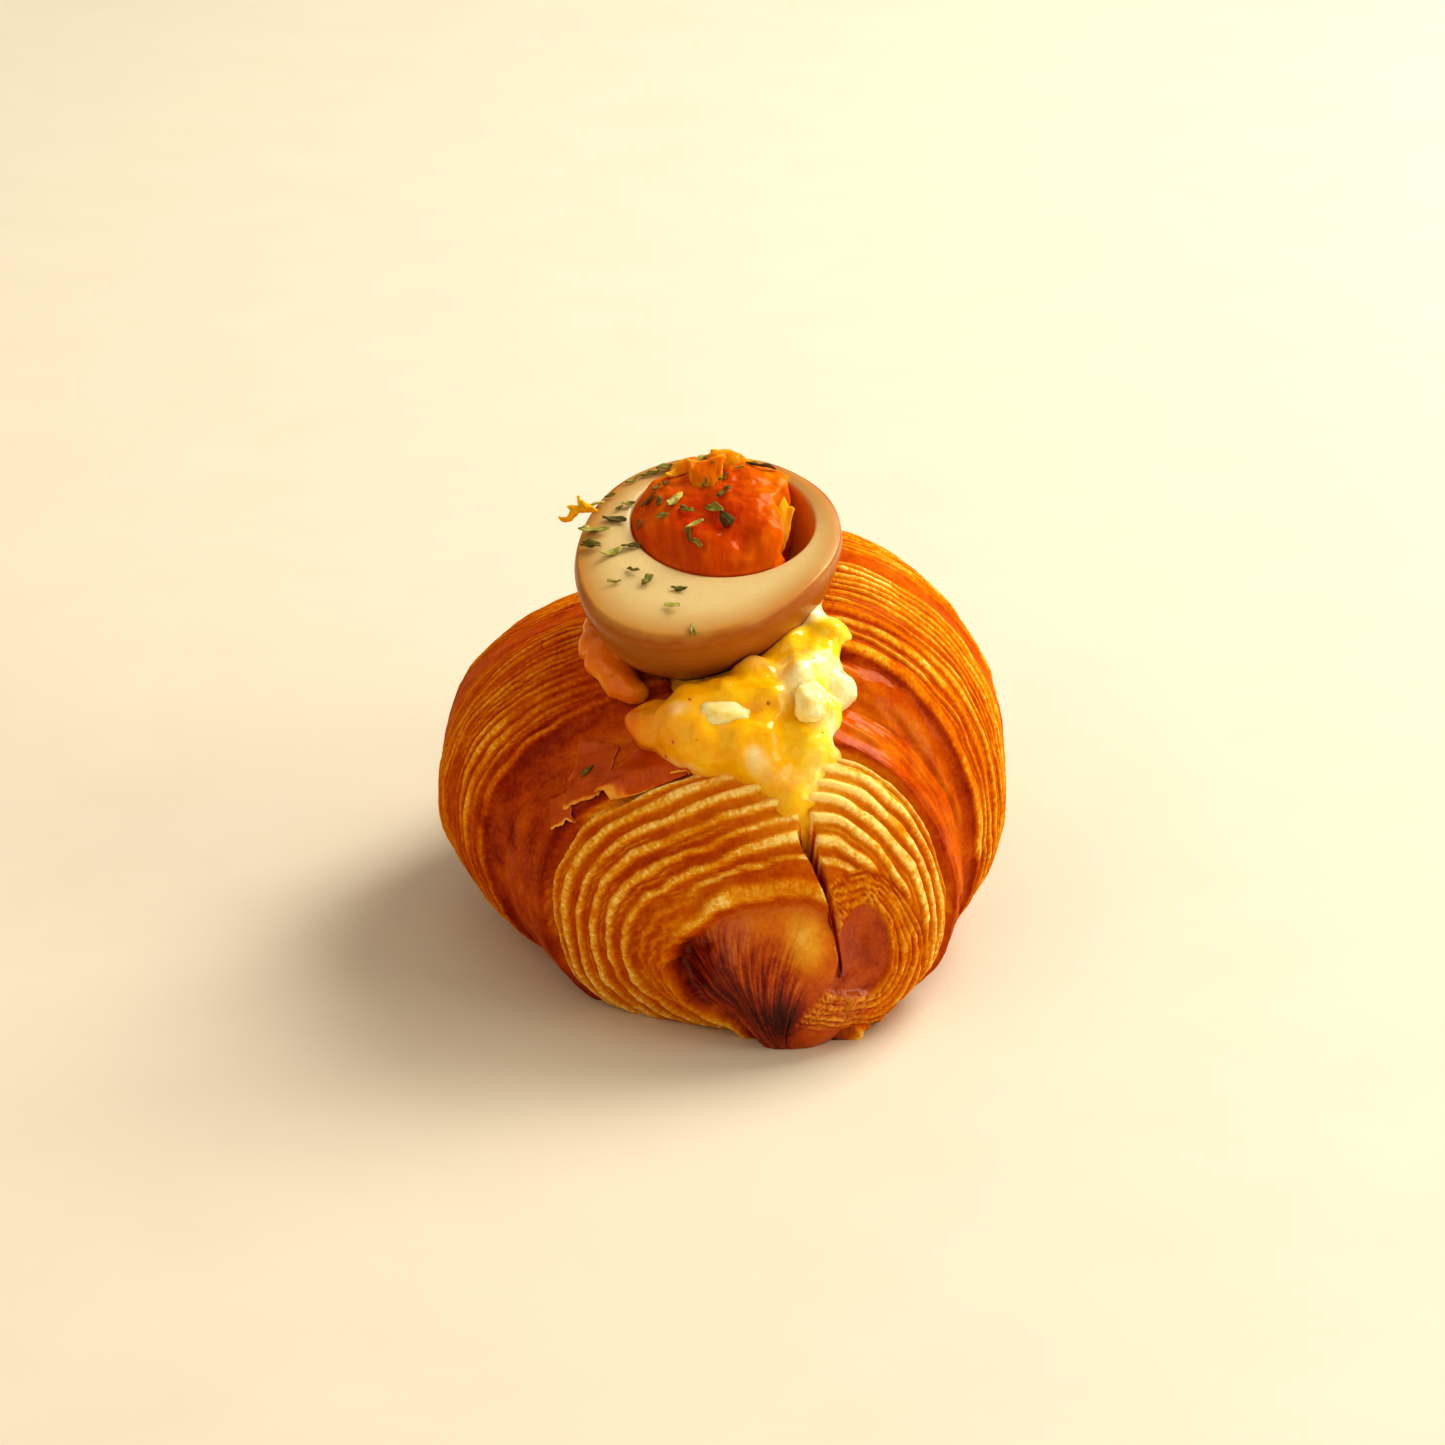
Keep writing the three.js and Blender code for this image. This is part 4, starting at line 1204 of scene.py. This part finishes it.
def parsley_material():
    mix = Recipe("dried_parsley")
    parts = mix.node("ShaderNodeSeparateXYZ")
    mix.join(mix.field("leaf", "Vector"), parts.inputs[0])
    mottle = mix.mottle(900.0, 2500.0)[0]
    veins = mix.maths("ABSOLUTE", parts.outputs["Y"])
    value = mix.plus(parts.outputs["Z"], mix.even(mottle, -0.3, 0.3))
    colour = mix.ramp(value, (
        (0.0, (0.075, 0.055, 0.008)), (0.45, (0.17, 0.145, 0.022)), (0.75, (0.30, 0.27, 0.05)),
        (1.0, (0.56, 0.52, 0.13)),
    ))
    colour = mix.blend(mix.spread(veins, 0.12, 0.0, 0.0, 0.35), colour, (0.30, 0.27, 0.07))
    normal = mix.bumps((mottle, 0.4, 0.3))
    return mix.surface(colour, 0.75, normal, Specular_IOR_Level=0.2)


def yolk_strands():
    """Three thin strands of yolk that hang over the egg's left rim; the first stands for the solid."""
    low, high = (np.array(corner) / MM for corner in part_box("yolk_curl"))
    middle = (low + high) / 2
    material = yolk_material("yolk_strands", 0.1)
    paths = (
        ((-2.9, -0.6, -0.6), (-1.6, -0.5, -0.9), (-0.4, 0.1, 0.2), (0.4, 0.2, 0.9), (0.9, 0.0, 2.2)),
        ((-1.6, 0.2, 0.9), (-0.2, 0.2, 0.7), (0.9, 0.4, 0.5), (2.3, 0.9, 0.1), (3.2, 1.4, -0.1)),
        ((0.2, 0.6, 2.6), (0.5, 0.5, 1.5), (1.1, 0.5, 0.9), (2.0, 0.8, 0.5), (2.9, 1.0, -0.2)),
    )
    for number, path in enumerate(paths):
        line = bpy.data.curves.new(f"yolk_strand_{number + 1}", "CURVE")
        line.dimensions = "3D"
        line.bevel_depth = STRAND_RADIUS * MM
        line.bevel_resolution = 3
        line.use_fill_caps = True
        spline = line.splines.new("BEZIER")
        spline.bezier_points.add(len(path) - 1)
        for point, place, fullness in zip(spline.bezier_points, path, (0.5, 1.1, 1.5, 1.0, 0.45)):
            point.co = Vector(middle + np.array(place)) * MM
            point.handle_left_type = "AUTO"
            point.handle_right_type = "AUTO"
            point.radius = fullness
        made = bpy.data.objects.new(line.name, line)
        bpy.context.collection.objects.link(made)
        select(made)
        bpy.ops.object.convert(target="MESH")
        # The ends are closed by joining the caps to the tube.
        bpy.ops.object.mode_set(mode="EDIT")
        bpy.ops.mesh.select_all(action="SELECT")
        bpy.ops.mesh.remove_doubles(threshold=0.001 * MM)
        bpy.ops.object.mode_set(mode="OBJECT")
        points = coordinates(made) / MM
        x, y, z = points.T
        wobble = 0.16 * rough(x / 0.8, y / 0.8, z / 0.8, 421, 2)
        points = points + outward(made, points) * wobble[:, None]
        set_coordinates(made, points * MM)
        note(made, strands=points, folds=0 * x, runny=0 * x)
        finish(made, material, ("yolk_curl",) if number == 0 else ())


# ---- Peeled crust ----

def crust_flakes(tree):
    """Thin sheets of crust that peel off at the left of the slit's front end."""
    material = peel_material()
    # Four corners on the crust, how far the free edge lifts, how ragged it is, and a seed.
    peels = (
        (((-18.4, -43.2, 34.6), (-4.6, -45.2, 38.6), (-4.0, -42.0, 41.5), (-13.0, -38.2, 41.0)),
         1.5, 0.05, 511),
        (((-24.6, -42.6, 31.8), (-18.0, -43.2, 34.4), (-15.5, -36.4, 40.2), (-22.5, -34.0, 40.4)),
         0.35, 0.12, 521),
        (((-26.2, -43.4, 29.0), (-22.0, -44.0, 30.8), (-22.6, -40.6, 34.4), (-27.4, -39.8, 33.0)),
         0.5, 0.14, 541),
    )
    peeled = []
    for number, (corners, lift, ragged, seed) in enumerate(peels):
        def lay(points, u, v, lift=lift, seed=seed):
            raised = 0.15 + lift * (1 - smooth(0.0, 0.7, v)) + 0.2 * waves(u * 3, v * 2, 0, seed + 9)
            return onto(tree, points, np.clip(raised, 0.1, None))
        name = f"peeled_crust_{number + 1}"
        piece = sheet(name, corners, 40, 26, PEEL_THICKNESS, ragged, seed, lay)
        finish(piece, material)
        peeled.append(piece)
    return peeled


def peel_material():
    mix = Recipe("thin_peeled_crust")
    rim = mix.field("rim")
    mottle, fine = mix.mottle(300.0, 1500.0)
    # Painted highlight: rim makes the free edge and the sides paler, with some of the thin edge's own paler
    # colour.
    value = mix.plus(mix.even(mottle, 0.15, 0.6), mix.times(rim, 0.6))
    colour = mix.ramp(value, (
        (0.0, (0.38, 0.040, 0.0)), (0.5, (0.54, 0.085, 0.0)), (0.75, (0.66, 0.17, 0.002)),
        (1.0, (0.88, 0.42, 0.05)),
    ))
    normal = mix.bumps((mottle, 0.4, 0.8), (fine, 0.1, 0.3))
    return mix.surface(colour, mix.even(mottle, 0.2, 0.4), normal, Coat_Weight=0.35,
                       Coat_Roughness=0.08, Specular_IOR_Level=0.0)


# ---- Build ----

studio()
crust = pastry()
crust_tree = surface_of(crust)
white = marinated_white()
yolk_piece = yolk()
egg_salad()
chopped_whites()
peeled_crust = crust_flakes(crust_tree)
yolk_sheets()
yolk_strands()
parsley_flakes([surface_of(piece) for piece in (white, yolk_piece, *peeled_crust)] + [crust_tree])
